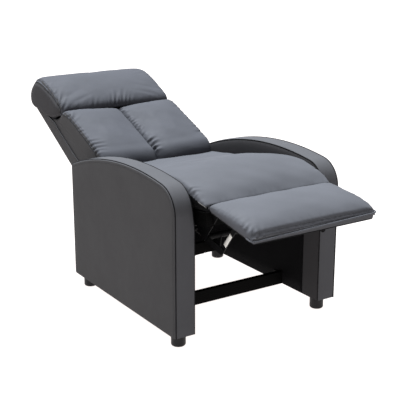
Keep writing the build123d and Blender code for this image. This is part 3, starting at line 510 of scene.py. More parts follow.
def creaseInto(obj, lay, outward, grooves, gathers, rumple):
    # grooves: (line, depth, width) along seams; gathers: (start, end, depth, width), fading out;
    # lay gives flat coordinates on the face that outward points away from
    points, normals = pointsOf(obj), normalsOf(obj)
    place = millimetres(points)
    flat = lay(place)
    shown = smoothStep(normals @ np.array(outward), 0.05, 0.45)
    push = np.zeros(len(points))
    # painted shade: each groove and gather also records how far it darkens the leather
    foldShade = np.zeros(len(points))
    for line, depth, width in grooves:
        share = np.exp(-((distanceToLine(place, line) / width) ** 2))
        push -= depth * share
        foldShade = np.maximum(foldShade, share * min(1, depth / 4))
    for first, last, depth, width in gathers:
        near, t = segmentDistance(flat, first, last)
        fade = (1 - t) ** 1.1 * smoothStep(t, -0.05, 0.22) * shown
        spread = width * (0.8 + 0.7 * t)
        share = np.exp(-((near / spread) ** 2)) * fade
        ridge = 0.6 * np.exp(-(((near - 2.0 * spread) / spread) ** 2)) * fade
        push += depth * (ridge - share)
        foldShade = np.maximum(foldShade, share * min(1, depth / 5))
    x, y, z = place.T
    slow = np.sin(x / 31 + np.sin(y / 43)) * np.sin(y / 27 + 1.3 * np.sin(x / 52))
    slow = slow + 0.5 * np.sin((x + y) / 17 + z / 23)
    push += rumple * slow * shown
    setPoints(obj, points + normals * push[:, None] / 1000)
    # the painted shade is kept as a point attribute that the leather reads
    attribute = obj.data.attributes.new("foldShade", "FLOAT", "POINT")
    attribute.data.foreach_set("value", foldShade.astype(np.float32))


def gathersAlong(line, inward, count, length, depth, width, seed, spread=0.3):
    # short puckers that start on a seam and run into the cushion
    rng = np.random.default_rng(seed)
    places = evenly(line, 201)
    step = 200 / count
    found = []
    for k in range(count):
        start = places[int(np.clip((k + rng.uniform(0.15, 0.85)) * step, 0, 200))]
        turn = rng.normal(0, spread)
        way = np.array([
            inward[0] * cos(turn) - inward[1] * sin(turn),
            inward[0] * sin(turn) + inward[1] * cos(turn),
        ])
        way /= np.linalg.norm(way)
        reach = length * rng.uniform(0.45, 1.1)
        depthHere, widthHere = depth * rng.uniform(0.5, 1.1), width * rng.uniform(0.8, 1.3)
        found.append((start, start + way * reach, depthHere, widthHere))
    return found


def fromAbove(place):
    return place[:, :2]


def paintWhere(obj, test):
    # test gives the material's number for each face, from its centre and the way it faces
    faces = obj.data.polygons
    picked = test(millimetres(vectorsOf(faces, "center")), vectorsOf(faces, "normal"))
    faces.foreach_set("material_index", picked.astype(np.int32))


def dress(obj, body, slotName, *nodes):
    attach(obj, body)
    if nodes:
        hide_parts(*nodes)
    return obj


def pipeAlong(name, body, lines, radius, spacing, facets, material, slotName="leather"):
    settings = {"Radius": radius, "Spacing": spacing, "Sides": facets}
    return dress(alongSeams(name, pipingTree, lines, settings, material), body, slotName)


def across(x, flat):
    # side-view points (y, z) at one x, or at an x for each point
    flat = np.array(flat)
    return np.concatenate([np.broadcast_to(np.array(x, float), flat.shape[:1])[:, None], flat], 1)


arm = {
    "outerX": 325.0, "innerX": 250.0,
    "front": -361.0, "rear": 351.0, "low": 45.0,
    "frontHigh": 517.0, "crestHigh": 545.5, "rearHigh": 460.0,
    "crestShare": 0.37, "corner": 90.0, "height": 470.0,
    "columns": 92, "rows": 40, "rimRows": (0, 0.9, 1.9, 3.0, 4.2, 6.0, 9.0), "bandStrips": 12,
    "panelPuff": 3.2, "puffReach": 34.0, "bandPuff": 2.8, "edge": 4.2, "skin": 1.3,
    "lean": 8.0, "leanReach": 11.0, "leanFrom": 380.0, "leanTo": 470.0,
}
armLining = {
    "front": -276.0, "rear": 345.0, "low": 47.0, "top": 432.0, "underArc": 30.0,
    "rows": 10, "columns": 40, "backing": 1.2,
}


def armLine(count):
    # rear edge, top arc, front corner and front edge, from the rear bottom to the front bottom
    crest = arm["front"] + arm["crestShare"] * (arm["rear"] - arm["front"])
    a = np.array([arm["rear"], arm["rearHigh"]])
    b = np.array([crest, arm["crestHigh"]])
    c = np.array([arm["front"], arm["frontHigh"]])
    # the arc's middle is as far from a as from b and c
    middle = np.linalg.solve(2 * np.array([b - a, c - a]), [b @ b - a @ a, c @ c - a @ a])
    radius = np.linalg.norm(a - middle)
    # the front corner touches the big arc inside and the front edge
    cornerY = arm["front"] + arm["corner"]
    reach = radius - arm["corner"]
    cornerZ = middle[1] + np.sqrt(reach**2 - (cornerY - middle[0]) ** 2)
    join = np.arctan2(cornerZ - middle[1], cornerY - middle[0])
    first = np.arctan2(a[1] - middle[1], a[0] - middle[0])
    top = [middle + radius * np.array([cos(t), sin(t)]) for t in np.linspace(first, join, 160)]
    bend = [
        np.array([cornerY, cornerZ]) + arm["corner"] * np.array([cos(t), sin(t)])
        for t in np.linspace(join, pi, 60)
    ]
    return evenly(np.array(top + bend[1:]), count)


def armFinish(side):
    # material numbers: 1 underside, 2 outer side, 3 inner side, 0 the band; the sides take the
    # darker leathers as painted shade
    def test(place, facing):
        inner = np.where(side * facing[:, 0] < -0.8, 3, 0)
        sideways = np.where(side * facing[:, 0] > 0.75, 2, inner)
        return np.where((facing[:, 2] < -0.8) & (place[:, 2] < 46), 1, sideways)

    return test


def makeArm(side, name):
    top = armLine(arm["columns"])
    rim = np.array(arm["rimRows"]) / arm["height"]
    share = np.concatenate([np.linspace(0, 1 - 14 / arm["height"], arm["rows"]), 1 - rim[::-1]])
    rows, columns = len(share), len(top)
    panel = np.empty((rows, columns, 2))
    panel[..., 0] = top[None, :, 0]
    panel[..., 1] = arm["low"] + share[:, None] * (top[None, :, 1] - arm["low"])
    outline = np.concatenate([panel[:, 0][:1], panel[1:, 0], top[1:-1], panel[::-1, -1]])
    flat = panel.reshape(-1, 2)
    away = distanceToLine(flat, outline)
    curl = np.clip(1 - away / arm["edge"], 0, 1)
    inset = arm["edge"] * (1 - np.sqrt(1 - curl**2))
    puff = arm["panelPuff"] * (1 - np.exp(-away / arm["puffReach"]))
    puff *= smoothStep(flat[:, 1] - arm["low"], 0, 60)
    outer = arm["outerX"] - inset + puff
    lean = smoothStep(flat[:, 1], arm["leanFrom"], arm["leanTo"])
    lean *= arm["lean"] * np.exp(-away / arm["leanReach"])
    inner = arm["innerX"] + arm["skin"] + lean + inset * 0.5
    points = [np.column_stack([outer, flat]), np.column_stack([inner, flat])]
    faces = gridFaces(rows, columns)
    second = rows * columns
    faces += [tuple(i + second for i in face) for face in faces]
    # the band round the rear, top and front
    edge = [row * columns for row in range(rows)]
    edge += [(rows - 1) * columns + column for column in range(1, columns)]
    edge += [row * columns + columns - 1 for row in range(rows - 2, -1, -1)]
    edgePoints = flat[edge]
    run = np.gradient(edgePoints, axis=0)
    outward = np.stack([-run[:, 1], run[:, 0]], -1)
    outward /= np.linalg.norm(outward, axis=1)[:, None]
    outward *= np.sign(((edgePoints - flat.mean(0)) * outward).sum(1))[:, None]
    low = smoothStep(edgePoints[:, 1] - arm["low"], 0, 30)
    rings = [np.array(edge)]
    for step in range(1, arm["bandStrips"]):
        t = step / arm["bandStrips"]
        x = outer[edge] + (inner[edge] - outer[edge]) * t
        lift = arm["bandPuff"] * (1 - (2 * t - 1) ** 4) * low
        points.append(np.column_stack([x, edgePoints + outward * lift[:, None]]))
        rings.append(2 * second + (step - 1) * len(edge) + np.arange(len(edge)))
    rings.append(np.array(edge) + second)
    rings = np.array(rings)
    faces += [tuple(rings.flat[i] for i in face) for face in gridFaces(*rings.shape)]
    # the underside, and the two lower ends of the band closed onto it
    for column in range(columns - 1):
        faces.append((column, column + 1, second + column + 1, second + column))
    for end in (0, -1):
        faces.append(tuple(int(ring[end]) for ring in rings))
    points = np.concatenate(points)
    points[:, 0] *= side
    # the outer and inner sides take the darker leathers: painted shade
    piece = meshPiece(
        f"{name}_arm", toFrame(points), faces,
        tautLeather, blackLining, shadedSideLeather, shadedInnerLeather, merge=0.00005,
    )
    piece.data.set_sharp_from_angle(angle=radians(38))
    paintWhere(piece, armFinish(side))
    dress(piece, "base", "leather", f"{name}_arm_cover")

    # the band's two seams, piped in near-black that is partly painted shadow
    lines = [
        toFrame(np.column_stack([side * x, edgePoints + rise * outward]))
        for x, rise in ((outer[edge] + 0.2, 0.5), (inner[edge] - 2.2 - 0.135 * lean[edge], -1.6))
    ]
    pipeAlong(f"{name}_arm_piping", "base", lines, 0.0019, 0.007, 8, darkPipingAndShadow)

    # black cloth glued over the inner side, behind the front wrap
    y = np.linspace(armLining["front"], armLining["rear"], armLining["columns"])
    arc = np.interp(-y, -top[:, 0], top[:, 1]) - armLining["underArc"]
    high = np.minimum(armLining["top"], arc)
    sheet = []
    for row in range(armLining["rows"]):
        z = armLining["low"] + (high - armLining["low"]) * row / (armLining["rows"] - 1)
        wave = -0.3 + 0.12 * np.sin(y / 23.0 + row)
        sheet.append(np.column_stack([side * (arm["innerX"] - wave), y, z]))
    sheet = np.array(sheet)
    backing = sheet.copy()
    backing[..., 0] = side * (arm["innerX"] + armLining["backing"])
    dress(closedSheet(f"{name}_arm_lining", sheet, backing, blackLining), "base", "black_cloth")


for side, name in sides:
    makeArm(side, name)
print("recliner: arms made")

# what the cushions' cloth simulation shares; each cushion's own values follow it
cushioning = {"pressure": 4.0, "quality": 4, "steps": 20, "cap": 18.0}

seat = {
    **cushioning, "half": 246.5, "meshSize": 0.0062, "softening": 3,
    "rise": 11.0, "stiffness": 3.0, "relief": 0.3, "centreLift": 20.0,
    "weltRadius": 0.0009, "weltFront": -425.0, "weltRear": -380.0,
}
seatTop = [(-415, 481), (-400, 489), (-370, 501), (-330, 513), (-245, 526), (-186, 524),
           (-87, 507), (9, 483), (60, 475), (87, 471), (99, 462), (103, 447)]
seatSideSeam = np.array([(-430, 475), (-404, 481), (-384, 486), (-347, 495), (-300, 504),
                         (-245, 512), (-87, 497), (9, 473), (60, 465), (100, 452)])


def acrossPiece(half, count):
    # places across a piece, closer together towards its sides
    return half * np.sin(np.linspace(-pi / 2, pi / 2, count))


def crowned(points, count, power, lift):
    # the line through the points, lifted between its ends
    line = curveThrough(points, count)
    line[:, 1] += np.sin(pi * np.linspace(0, 1, count)) ** power * lift
    return line


def seatLoop(x):
    far = min(abs(x) / 225, 1.0)
    lift = seat["centreLift"] * (1 - far**2)
    drop = 1.5 * max(0, (abs(x) - 225) / 21.5) + 7 * max(0, (abs(x) - 240) / 6.5) ** 2
    sideLift = 19 * max(0, (abs(x) - 232) / 14.5)
    under = [(101.8, 400 + sideLift), (0, 411 + sideLift), (-200, 434 + sideLift),
             (-330, 449 + sideLift), (-404, 457 + sideLift * 0.8), (-412, 468)]
    return across(x, np.concatenate([crowned(seatTop, 60, 0.8, lift - drop), evenly(under, 30)]))


def sideSeamHigh(y):
    return np.interp(y, seatSideSeam[:, 0], seatSideSeam[:, 1])


def heldSeat(place, facing):
    y = place[:, 1]
    base = smoothStep(-facing[:, 2], 0.0, 0.5)
    seam = np.exp(-(((y + 415) / 40) ** 2))
    ends = 0.55 * smoothStep(np.abs(place[:, 0]), 236, 246)
    return np.maximum.reduce([base, seam, ends, 0.7 * smoothStep(y, 60, 100)])


def seatLined(place, facing):
    # black cloth underneath, and on the sides below their seam
    under = (facing[:, 2] < -0.35) & (place[:, 2] < 470)
    beside = (np.abs(place[:, 0]) > 234) & (facing[:, 2] < 0.6)
    return under | (beside & (place[:, 2] < sideSeamHigh(place[:, 1])))


seatPiece = loftPiece(
    "seat", [seatLoop(x) for x in acrossPiece(seat["half"], 31)], greyLeather, blackLining)
inflate(seatPiece, seat, heldSeat)
rearCrease = across(np.linspace(-244, 244, 30), [(97 + 5 * cos(i / 3), 474) for i in range(30)])
frontSeam = across(np.linspace(-246, 246, 20), [(-415, 480)] * 20)
gathers = [
    ((-254, -326), (-204, -346), 2.8, 4.2), ((-254, -348), (-218, -362), 2.2, 4.2),
    ((-254, -376), (-228, -388), 1.4, 4.6), ((254, -336), (212, -352), 2.0, 5.4),
]
gathers += gathersAlong(frontSeam[:, :2], (0, 1), 14, 32, 0.9, 6.0, 11)
grooves = [(rearCrease, 2.4, 8.0), (frontSeam, 2.0, 6.0)]
creaseInto(seatPiece, fromAbove, (0, 0, 1), grooves, gathers, 0.8)
paintWhere(seatPiece, seatLined)
dress(seatPiece, "seat", "leather", "seat_cushion")
# the seat's pale side welt near the front, partly a painted highlight along the seam
weltRun = np.linspace(seat["weltFront"], seat["weltRear"], 24)
weltPlace = np.column_stack([weltRun, sideSeamHigh(weltRun)])
welts = [laidOn("seat", across(side * 250, weltPlace), 0.0002) for side, _ in sides]
pipeAlong("seat_side_highlight_welt", "seat", welts, seat["weltRadius"], 0.005, 6, highlightWelt)
print("recliner: seat made")

# The back's front is drawn in (along, above) of its front line.
back = {
    **cushioning, "half": 239.5, "meshSize": 0.0055, "softening": 2,
    "rise": 12.0, "stiffness": 2.0, "relief": 0.45,
    "split": 1.2, "valley": -12.0, "edgeHigh": 3.0, "crown": 9.0, "bedHigh": 31.4,
}
backward = (0, -sin(radians(backSlope)), cos(radians(backSlope)))


def backCushionLoop(x):
    # x from the split to the outer side, on the right cushion
    t = (x - back["split"]) / (back["half"] - back["split"])
    hump = 1 - abs(2 * t - 1) ** 3.2
    level = back["valley"] + (back["edgeHigh"] - back["valley"]) * t
    level += (back["crown"] - back["edgeHigh"] * 0.3) * hump
    draw = 5 * (1 - hump)
    foot = coverToBack([(62 + draw, back["bedHigh"])])[0]
    bed = coverToBack([(498, back["bedHigh"])])[0]
    front = curveThrough([
        tuple(foot), (-14 + draw, -87), (-26 + draw, -66), (-29 + draw, -46),
        (-25 + draw, level - 28), (-11 + draw, level - 14), (12, level - 5), (50, level - 1),
        (115, level), (190, level), (260, level - 1),
        (300, level - 7), (316, level - 17), (323, level - 30),
    ], 70)
    tail = evenly([(323, level - 30), (350, -62), (438, -101), tuple(bed), tuple(foot)], 34)[1:-1]
    return across(x, onBack(np.concatenate([front, tail])))


def backPlace(place):
    return np.moveaxis(besideSlope(backLow, backSlope, place[..., 1:]), -1, 0)


def layBack(place):
    return np.column_stack([place[:, 0], backPlace(place)[0]])


def onLine(x, along):
    # flat coordinates (x, along) on the back
    x, along = np.broadcast_arrays(np.array(x, float), np.array(along, float))
    return np.column_stack([x, along])


def backLine(x, points):
    return across(x, onBack(points))


def heldBack(place, facing):
    u, n = backPlace(place)
    deep = smoothStep(-n, 30, 60) * smoothStep(u, -30, 30)
    x = np.abs(place[:, 0])
    edges = np.maximum(0.8 * smoothStep(x, 228, 239), 0.8 * smoothStep(-x, -12, -2))
    return np.maximum.reduce([deep, edges, smoothStep(u, 311, 325)])


def livelyBack(place):
    # the rolled foot of a cushion stays smooth
    return smoothStep(backPlace(place)[0], 0, 45)


# the cushions' sides take the darker side leather, painted shade
def padSide(place, facing):
    return (np.abs(facing[:, 0]) > 0.8) & (np.abs(place[:, 0]) > 200)


backFolds = {
    "left": [
        ((-246, 88), (-178, 78), 2.2, 4.8), ((-246, 66), (-172, 55), 2.9, 5.0),
        ((-246, 44), (-178, 34), 2.8, 4.8), ((-246, 24), (-186, 15), 2.0, 4.8),
        ((-240, 258), (-210, 316), 3.2, 5.2), ((-240, 232), (-192, 280), 2.4, 6.0),
        ((-240, 284), (-222, 320), 2.6, 5.0),
    ],
    "right": [
        ((0, 56), (48, 66), 5.0, 5.4), ((0, 30), (42, 38), 5.0, 5.4),
        ((0, 8), (34, 16), 4.0, 5.4), ((0, 302), (44, 276), 3.4, 7.0),
        ((244, 60), (196, 48), 2.4, 5.4), ((244, 92), (204, 84), 2.2, 5.4),
    ],
}
for side, name in sides:
    t = 0.5 - 0.5 * np.cos(pi * np.linspace(0, 1, 25))
    loops = np.array([
        backCushionLoop(x) for x in back["split"] + (back["half"] - back["split"]) * t])
    loops[..., 0] *= side
    cushion = loftPiece(f"{name}_back_pad", loops, shadedBackLeather, shadedSideLeather)
    inflate(cushion, back, heldBack, livelyBack)
    outerSeam = backLine(side * 239, [(4, -22), (20, -4), (60, 2), (150, 3), (265, 1), (315, -8)])
    outer = onLine(side * 240, np.linspace(8, 310, 9))
    split = onLine(side * 2, np.linspace(6, 310, 9))
    gathers = gathersAlong(outer, (-side, -0.15), 11, 36, 1.8, 4.6, 21 + side)
    if side < 0:
        gathers += gathersAlong(split, (-0.9, 0.5), 8, 24, 1.4, 4.6, 30)
    else:
        gathers += gathersAlong(split, (0.7, 0.75), 13, 30, 3.4, 4.6, 34, spread=0.25)
    gathers += backFolds[name]
    highLine = onLine(np.linspace(side * 20, side * 225, 9), 323)
    gathers += gathersAlong(highLine, (0, -1), 8, 30, 1.2, 5.0, 41 + side)
    creaseInto(cushion, layBack, backward, [(outerSeam, 2.2, 4.5)], gathers, 0.6)
    paintWhere(cushion, padSide)
    dress(cushion, "back", "leather", f"{name}_back_cushion")
print("recliner: back cushions made")

pillow = {
    **cushioning, "half": 239.5, "meshSize": 0.0056, "softening": 3,
    "rise": 11.0, "stiffness": 2.0, "relief": 0.38, "crown": 12.0, "flare": 0.018,
}


def flared(points):
    # the pillow is widest at its top
    points = np.array(points, float)
    points[..., 0] *= 1 + pillow["flare"] * smoothStep(backPlace(points)[0], 380, 590)
    return points


def pillowLoop(x):
    far = abs(x) / pillow["half"]
    edge = max(0, (far - 0.86) / 0.14) ** 2
    level = pillow["crown"] * (1 - 0.35 * far**4) - 9 * edge
    draw = 13 * edge + 3 * max(0, far - 0.5)
    wrap, inner, bed = coverToBack([(604.6, 0.6), (604.6, 31.4), (499.2, 31.4)])
    front = curveThrough([
        (324 + draw * 0.3, level - 26), (328 + draw * 0.3, level - 13), (343, level - 4),
        (389, level + 1), (463, level + 3), (529, level - 4), (566 - draw, level - 15),
        (587 - draw, level - 35), (600 - draw, -64), (602 - draw, -96), (590 - draw * 0.6, -119),
    ], 74)
    tail = evenly([(590 - draw * 0.6, -119), tuple(wrap), tuple(inner), tuple(bed),
                   (442.7, -91.2), (360.7, -49.2), (324 + draw * 0.3, level - 26)], 40)[1:-1]
    return across(x, onBack(np.concatenate([front, tail])))


def heldPillow(place, facing):
    u, n = backPlace(place)
    deep = smoothStep(-n, 34, 64) * smoothStep(-u, -576, -516)
    ends = 0.75 * smoothStep(np.abs(place[:, 0]), 228, 239)
    tuck = smoothStep(-n, 8, 24) * smoothStep(-u, -349, -325)
    return np.maximum.reduce([deep, ends, tuck])


# the pillow's ends take the darker side leather, painted shade
def pillowEnd(place, facing):
    return np.abs(facing[:, 0]) > 0.8


pillowPiece = loftPiece(
    "head_pad", flared([pillowLoop(x) for x in acrossPiece(pillow["half"], 33)]),
    shadedBackLeather, shadedSideLeather,
)
inflate(pillowPiece, pillow, heldPillow)
endEdge = [(331, -6), (369, 4), (458, 8), (533, 3), (570, -12), (586, -42)]
grooves = [(backLine(side * 240, endEdge), 2.4, 4.5) for side, _ in sides]
lowEdge = onLine(np.linspace(-230, 230, 9), 319)
gathers = gathersAlong(lowEdge, (0.3, 0.95), 13, 36, 1.1, 5.4, 62)
# folds that fan out of the split below, then those that start at the two ends
gathers += [
    ((x - 6, 311), (x + 0.45 * reach, 323 + 0.89 * reach), depth, 5.2)
    for x, reach, depth in (
        (-42, 44, 1.6), (-26, 62, 2.8), (-8, 76, 5.0), (8, 66, 3.2), (23, 84, 4.4),
        (40, 72, 3.0), (57, 56, 2.4), (-104, 66, 1.6), (-84, 50, 1.2),
    )
]
gathers += [
    ((-240, 340), (-194, 416), 4.0, 6.0), ((-242, 370), (-204, 454), 3.4, 6.0),
    ((-240, 318), (-206, 362), 4.6, 6.0), ((-242, 470), (-208, 514), 2.4, 5.4),
    ((-242, 526), (-210, 550), 2.8, 5.4), ((-242, 422), (-210, 464), 2.0, 5.4),
    ((-240, 556), (-214, 572), 2.4, 5.0), ((240, 348), (208, 390), 2.2, 5.4),
    ((240, 438), (210, 462), 1.6, 5.4),
]
endRun = np.linspace(334, 576, 9)
gathers += gathersAlong(onLine(-237, endRun), (1, 0.5), 8, 32, 1.3, 5.0, 63)
gathers += gathersAlong(onLine(237, endRun), (-1, 0.4), 9, 34, 1.2, 5.0, 64)
creaseInto(pillowPiece, layBack, backward, grooves, gathers, 0.55)
paintWhere(pillowPiece, pillowEnd)
dress(pillowPiece, "back", "leather", "head_pillow")
print("recliner: head pillow made")

# the back's sides and rear in one piece of the darker side leather, painted shade, with its seam
# to the front drawn on the back
cover = {
    "half": 242.6, "round": 13.0, "thickness": 2.2, "start": 5.4, "end": 604.0,
    "puff": 4.0, "lowest": 14.5,
}
coverSeam = np.array(
    [(-14, -121), (140, -110), (240, -101), (362, -84), (474, -94), (548, -110)], float)


def seamHigh(along):
    u, n = besideSlope(flapHinge, coverSlope, onBack(coverSeam)).T
    u, n = np.r_[0, u, cover["end"]], np.r_[n[0], n, cover["lowest"]]
    return max(cover["lowest"], float(np.interp(along, u, n)))


def coverSection(along):
    high = seamHigh(along)
    half, bend = cover["half"], cover["round"]
    level = half - bend
    puff = cover["puff"] * sin(pi * np.clip(along / cover["end"], 0, 1)) ** 0.5
    line = [(half, high - (high - bend) * t) for t in np.linspace(0, 1, 12)]
    line += [(level + bend * cos(t), bend - bend * sin(t)) for t in np.linspace(0, pi / 2, 7)[1:]]
    line += [(x, -puff * (1 - (x / level) ** 4)) for x in np.linspace(level, 0, 16)[1:]]
    whole = np.array(line + [(-x, n) for x, n in reversed(line[:-1])])
    flat = onCover(np.column_stack([np.full(len(whole), along), whole[:, 1]]))
    return np.column_stack([whole[:, 0], flat])


sections = np.array([coverSection(a) for a in np.linspace(cover["start"], cover["end"], 60)])
coverPiece = meshPiece("back_skin", toFrame(sections), gridFaces(*sections.shape[:2]), shadedSideLeather)
if normalsOf(coverPiece)[:, 2].mean() > 0:
    coverPiece.data.flip_normals()
remade(coverPiece, "thick", "SOLIDIFY", thickness=cover["thickness"] / 1000, offset=-1)
dress(coverPiece, "back", "leather", "back_cover")

# the pillow's ends are closed by puffed side panels in the darkest leather, painted shade: each
# loop has its reach and its rise
gusset = {
    "rim": 234.0, "dome": 12.5, "centre": (466.0, -52.0), "sunk": -5.0,
    "loops": ((1.0, 0.0), (0.985, 0.3), (0.955, 0.55), (0.9, 0.78), (0.8, 0.9),
              (0.6, 0.97), (0.4, 0.99), (0.2, 1.0), (0.03, 1.0)),
}
gussetEdge = curveThrough([
    (329, -20), (341, -8), (389, -3), (462, -1), (525, -7), (562, -21), (582, -42), (594, -70),
    (594, -98), (578, -120), (548, -123), (514, -113), (470, -104), (424, -92), (384, -76),
    (356, -52), (337, -34), (329, -20),
], 120)[:-1]
middle = np.array(gusset["centre"])
for side, name in sides:
    loops = []
    domed = [(reach, gusset["dome"] * rise) for reach, rise in gusset["loops"]]
    for reach, x in [(0.98, gusset["sunk"]), *domed]:
        flat = onBack(middle + reach * (gussetEdge - middle))
        loops.append(flared(across(side * (gusset["rim"] + x), flat)))
    dress(loftPiece(f"{name}_head_gusset", loops, shadedInnerLeather), "back", "leather")

sideSeams = [evenly(toFrame(across(side * 243.0, onBack(coverSeam))), 80) for side, _ in sides]
pipeAlong("back_side_seams", "back", sideSeams, 0.0014, 0.008, 6, tautLeather)
padSeam = curveThrough([(0, -28), (14, -10), (60, -3), (150, -1), (265, -3), (312, -14)], 90)
pillowSeam = curveThrough([
    (330, -24), (337, -8), (369, 1), (458, 4), (530, -3), (564, -18), (581, -42), (589, -76)], 110)
frontSeams = []
for side, name in sides:
    frontSeams.append(laidOn(f"{name}_back_pad", backLine(side * 239.2, padSeam), 0.0004))
    frontSeams.append(laidOn("head_pad", flared(backLine(side * 239.8, pillowSeam)), 0.0004))
pipeAlong("back_front_seams", "back", frontSeams, 0.0012, 0.006, 6, darkPipingAndShadow)
print("recliner: back cover made")

footrest = {
    **cushioning, "half": 235.5, "meshSize": 0.005, "softening": 2,
    "rise": 7.0, "cap": 12.0, "stiffness": 3.0, "relief": 0.3, "centreLift": 7.0,
    "skirtFrom": 229.8, "skirt": 11.0,
}
padTop = [(-415.5, 481), (-424, 485), (-456, 488), (-508, 487), (-553, 482), (-587, 475),
          (-609, 467), (-626, 456), (-638, 442)]


def padLoop(x):
    far = abs(x) / footrest["half"]
    lift = footrest["centreLift"] * (1 - far**2) - 15 * max(0, (far - 0.78) / 0.22) ** 2
    crown = crowned(padTop, 50, 0.6, lift)
    # past the board's ends the pad hangs lower
    skirt = footrest["skirt"] * (abs(x) > footrest["skirtFrom"])
    lowest = onBoard([(-227.6, 19.0 - skirt), (-2.4, 19.0 - skirt)])
    floorLine = np.interp(crown[:, 0], lowest[:, 0], lowest[:, 1]) + 3.0
    crown[:, 1] = np.maximum(crown[:, 1], floorLine)
    return across(x, np.concatenate([crown, evenly(lowest, 24)]))


def heldPad(place, facing):
    x = np.abs(place[:, 0])
    base = np.maximum(smoothStep(-facing[:, 2], 0.0, 0.5), smoothStep(x, 232, 235))
    seam = smoothStep(place[:, 1], -428, -418)
    front = smoothStep(-place[:, 1], 626, 634)
    return np.maximum.reduce([base, seam, front, 0.6 * smoothStep(x, 225, 234)])


stations = acrossPiece(footrest["half"], 31)
beyond = np.array([229.79, 229.81, 233.5, 236.5])
stations = np.sort(np.r_[stations[np.abs(stations) < 228], -beyond, beyond])
padPiece = loftPiece("footrest_top", [padLoop(x) for x in stations], greyLeather)
inflate(padPiece, footrest, heldPad)
rearEdge = across(np.linspace(-232, 232, 20), [(-417, 480)] * 20)
sideRun = np.linspace(-630, -430, 9)
gathers = gathersAlong(onLine(np.linspace(-232, 232, 9), -641), (0, 1), 16, 30, 0.9, 5.0, 71)
gathers += gathersAlong(onLine(-235, sideRun), (1, 0.1), 8, 36, 1.1, 5.4, 72)
gathers += gathersAlong(onLine(235, sideRun), (-1, 0.1), 7, 30, 0.9, 5.4, 73)
gathers += [
    ((-242, -594), (-194, -582), 2.4, 5.6), ((-242, -616), (-198, -592), 3.2, 5.6),
    ((-238, -642), (-200, -602), 3.4, 5.6), ((-212, -645), (-190, -604), 2.4, 5.6),
    ((240, -640), (208, -606), 2.4, 5.6),
]
creaseInto(padPiece, fromAbove, (0, 0, 1), [(rearEdge, 2.0, 5.0)], gathers, 0.7)
dress(padPiece, "footrest", "leather", "footrest_pad")

board = {"half": 229.4, "front": -226.0, "rear": -2.6, "high": 20.0, "round": 5.0, "corner": 3.5}


def boardLoop(x):
    inset = max(0, (abs(x) - board["half"] + board["round"]) / board["round"])
    d = board["round"] * (1 - np.sqrt(max(0, 1 - inset**2)))
    r = board["corner"]
    low, high = d + r, board["high"] - d - r
    front, rear = board["front"] + d + r, board["rear"] - d - r
    corners = []
    for cy, cz, start in ((rear, high, 0), (front, high, 90), (front, low, 180), (rear, low, 270)):
        for turn in (0, 22.5, 45, 67.5, 90):
            angle = radians(start + turn)
            corners.append((cy + r * cos(angle), cz + r * sin(angle)))
    return across(x, onBoard(corners))


def underBoard(place, facing):
    return facing[:, 2] < -0.9


def boardSeam(name, outline, high, radius, spacing, facets, material):
    # piping round the board's edge, from (x, along) and the height above the board's foot
    flat = onBoard(np.column_stack([outline[:, 1], np.broadcast_to(high, len(outline))]))
    line = toFrame(np.column_stack([outline[:, 0], flat]))
    pipeAlong(name, "footrest", [line], radius, spacing, facets, material)


edgeSteps = board["half"] - board["round"] * (1 - np.sin(np.linspace(0, pi / 2, 6)))
inside = np.linspace(-edgeSteps[0], edgeSteps[0], 24)
stations = np.r_[-edgeSteps[::-1][:-1], inside, edgeSteps[1:]]
boardPiece = loftPiece("footrest_wrap", [boardLoop(x) for x in stations], tautLeather, blackLining)
boardPiece.data.set_sharp_from_angle(angle=radians(50))
paintWhere(boardPiece, underBoard)
dress(boardPiece, "footrest", "leather", "footrest_board")

front = evenly([
    (-237, -200), (-237, -220), (-234, -227), (-226, -229),
    (226, -229), (234, -227), (237, -220), (237, -200),
], 130)
boardSeam("footrest_piping", front, 16 + 6 * front[:, 0] / 235, 0.0024, 0.006, 8, greyLeather)
around = [(-225, -3), (-229, -8), (-229.4, -218), (-228, -224), (-222, -226.4)]
around = evenly(around + [(-x, u) for x, u in reversed(around)], 220)
boardSeam("footrest_lower_seam", around, 1.0, 0.0011, 0.008, 6, darkPipingAndShadow)
print("recliner: footrest made")


def clothStrip(name, lineAt, xs, thickness):
    # a thin closed sheet: lineAt(x) gives its side view from front to rear
    top = np.array([across(x, lineAt(x)) for x in xs])
    return closedSheet(name, top, top - np.array([0, 0, thickness]), greyLeather)


def bridgeLine(x):
    return curveThrough([(-402, 471), (-408, 472.5), (-415, 473), (-421, 472), (-427, 470)], 12)


def tailLine(x):
    sag = 3 * sin(x / 37.0) + 2 * sin(x / 17.0 + 1)
    return curveThrough([
        (92, 466), (118, 468 + sag * 0.2), (160, 465 + sag * 0.4), (210, 458 - sag * 0.3),
        (262, 451 + sag * 0.2), (300, 446)], 36)


def framePoint(y, z):
    return tuple(toFrame([(0, y, z)])[0])


# leather that joins the seat to the footrest, and the seat to the back
bridge = clothStrip("seat_bridge", bridgeLine, np.linspace(-226, 226, 24), 1.6)
framePoint(-408, 470)
framePoint(-422, 470)
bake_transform(bridge)
tail = clothStrip("seat_tail_cloth", tailLine, np.linspace(-240, 240, 60), 2.2)
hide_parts("seat_tail")
framePoint(150, 460)
framePoint(300, 452)
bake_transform(tail)

# black cloth that hangs from the back's lower hem, with soft folds
flap = {"half": 239.0, "top": 289.0, "low": 12.0, "thickness": 1.6, "rows": 30, "columns": 70}


def flapPoints(offset):
    xs = np.linspace(-flap["half"], flap["half"], flap["columns"])
    rows = []
    for row in range(flap["rows"]):
        t = row / (flap["rows"] - 1)
        z = flap["top"] - (flap["top"] - flap["low"]) * t
        wave = t * (2.2 * np.sin(xs / 31.0 + 0.6 * t) + 1.3 * np.sin(xs / 13.0 + 2 + t))
        y = flapHinge[0] + wave + offset
        rows.append(np.column_stack([xs, y, np.full(len(xs), z)]))
    return np.array(rows)


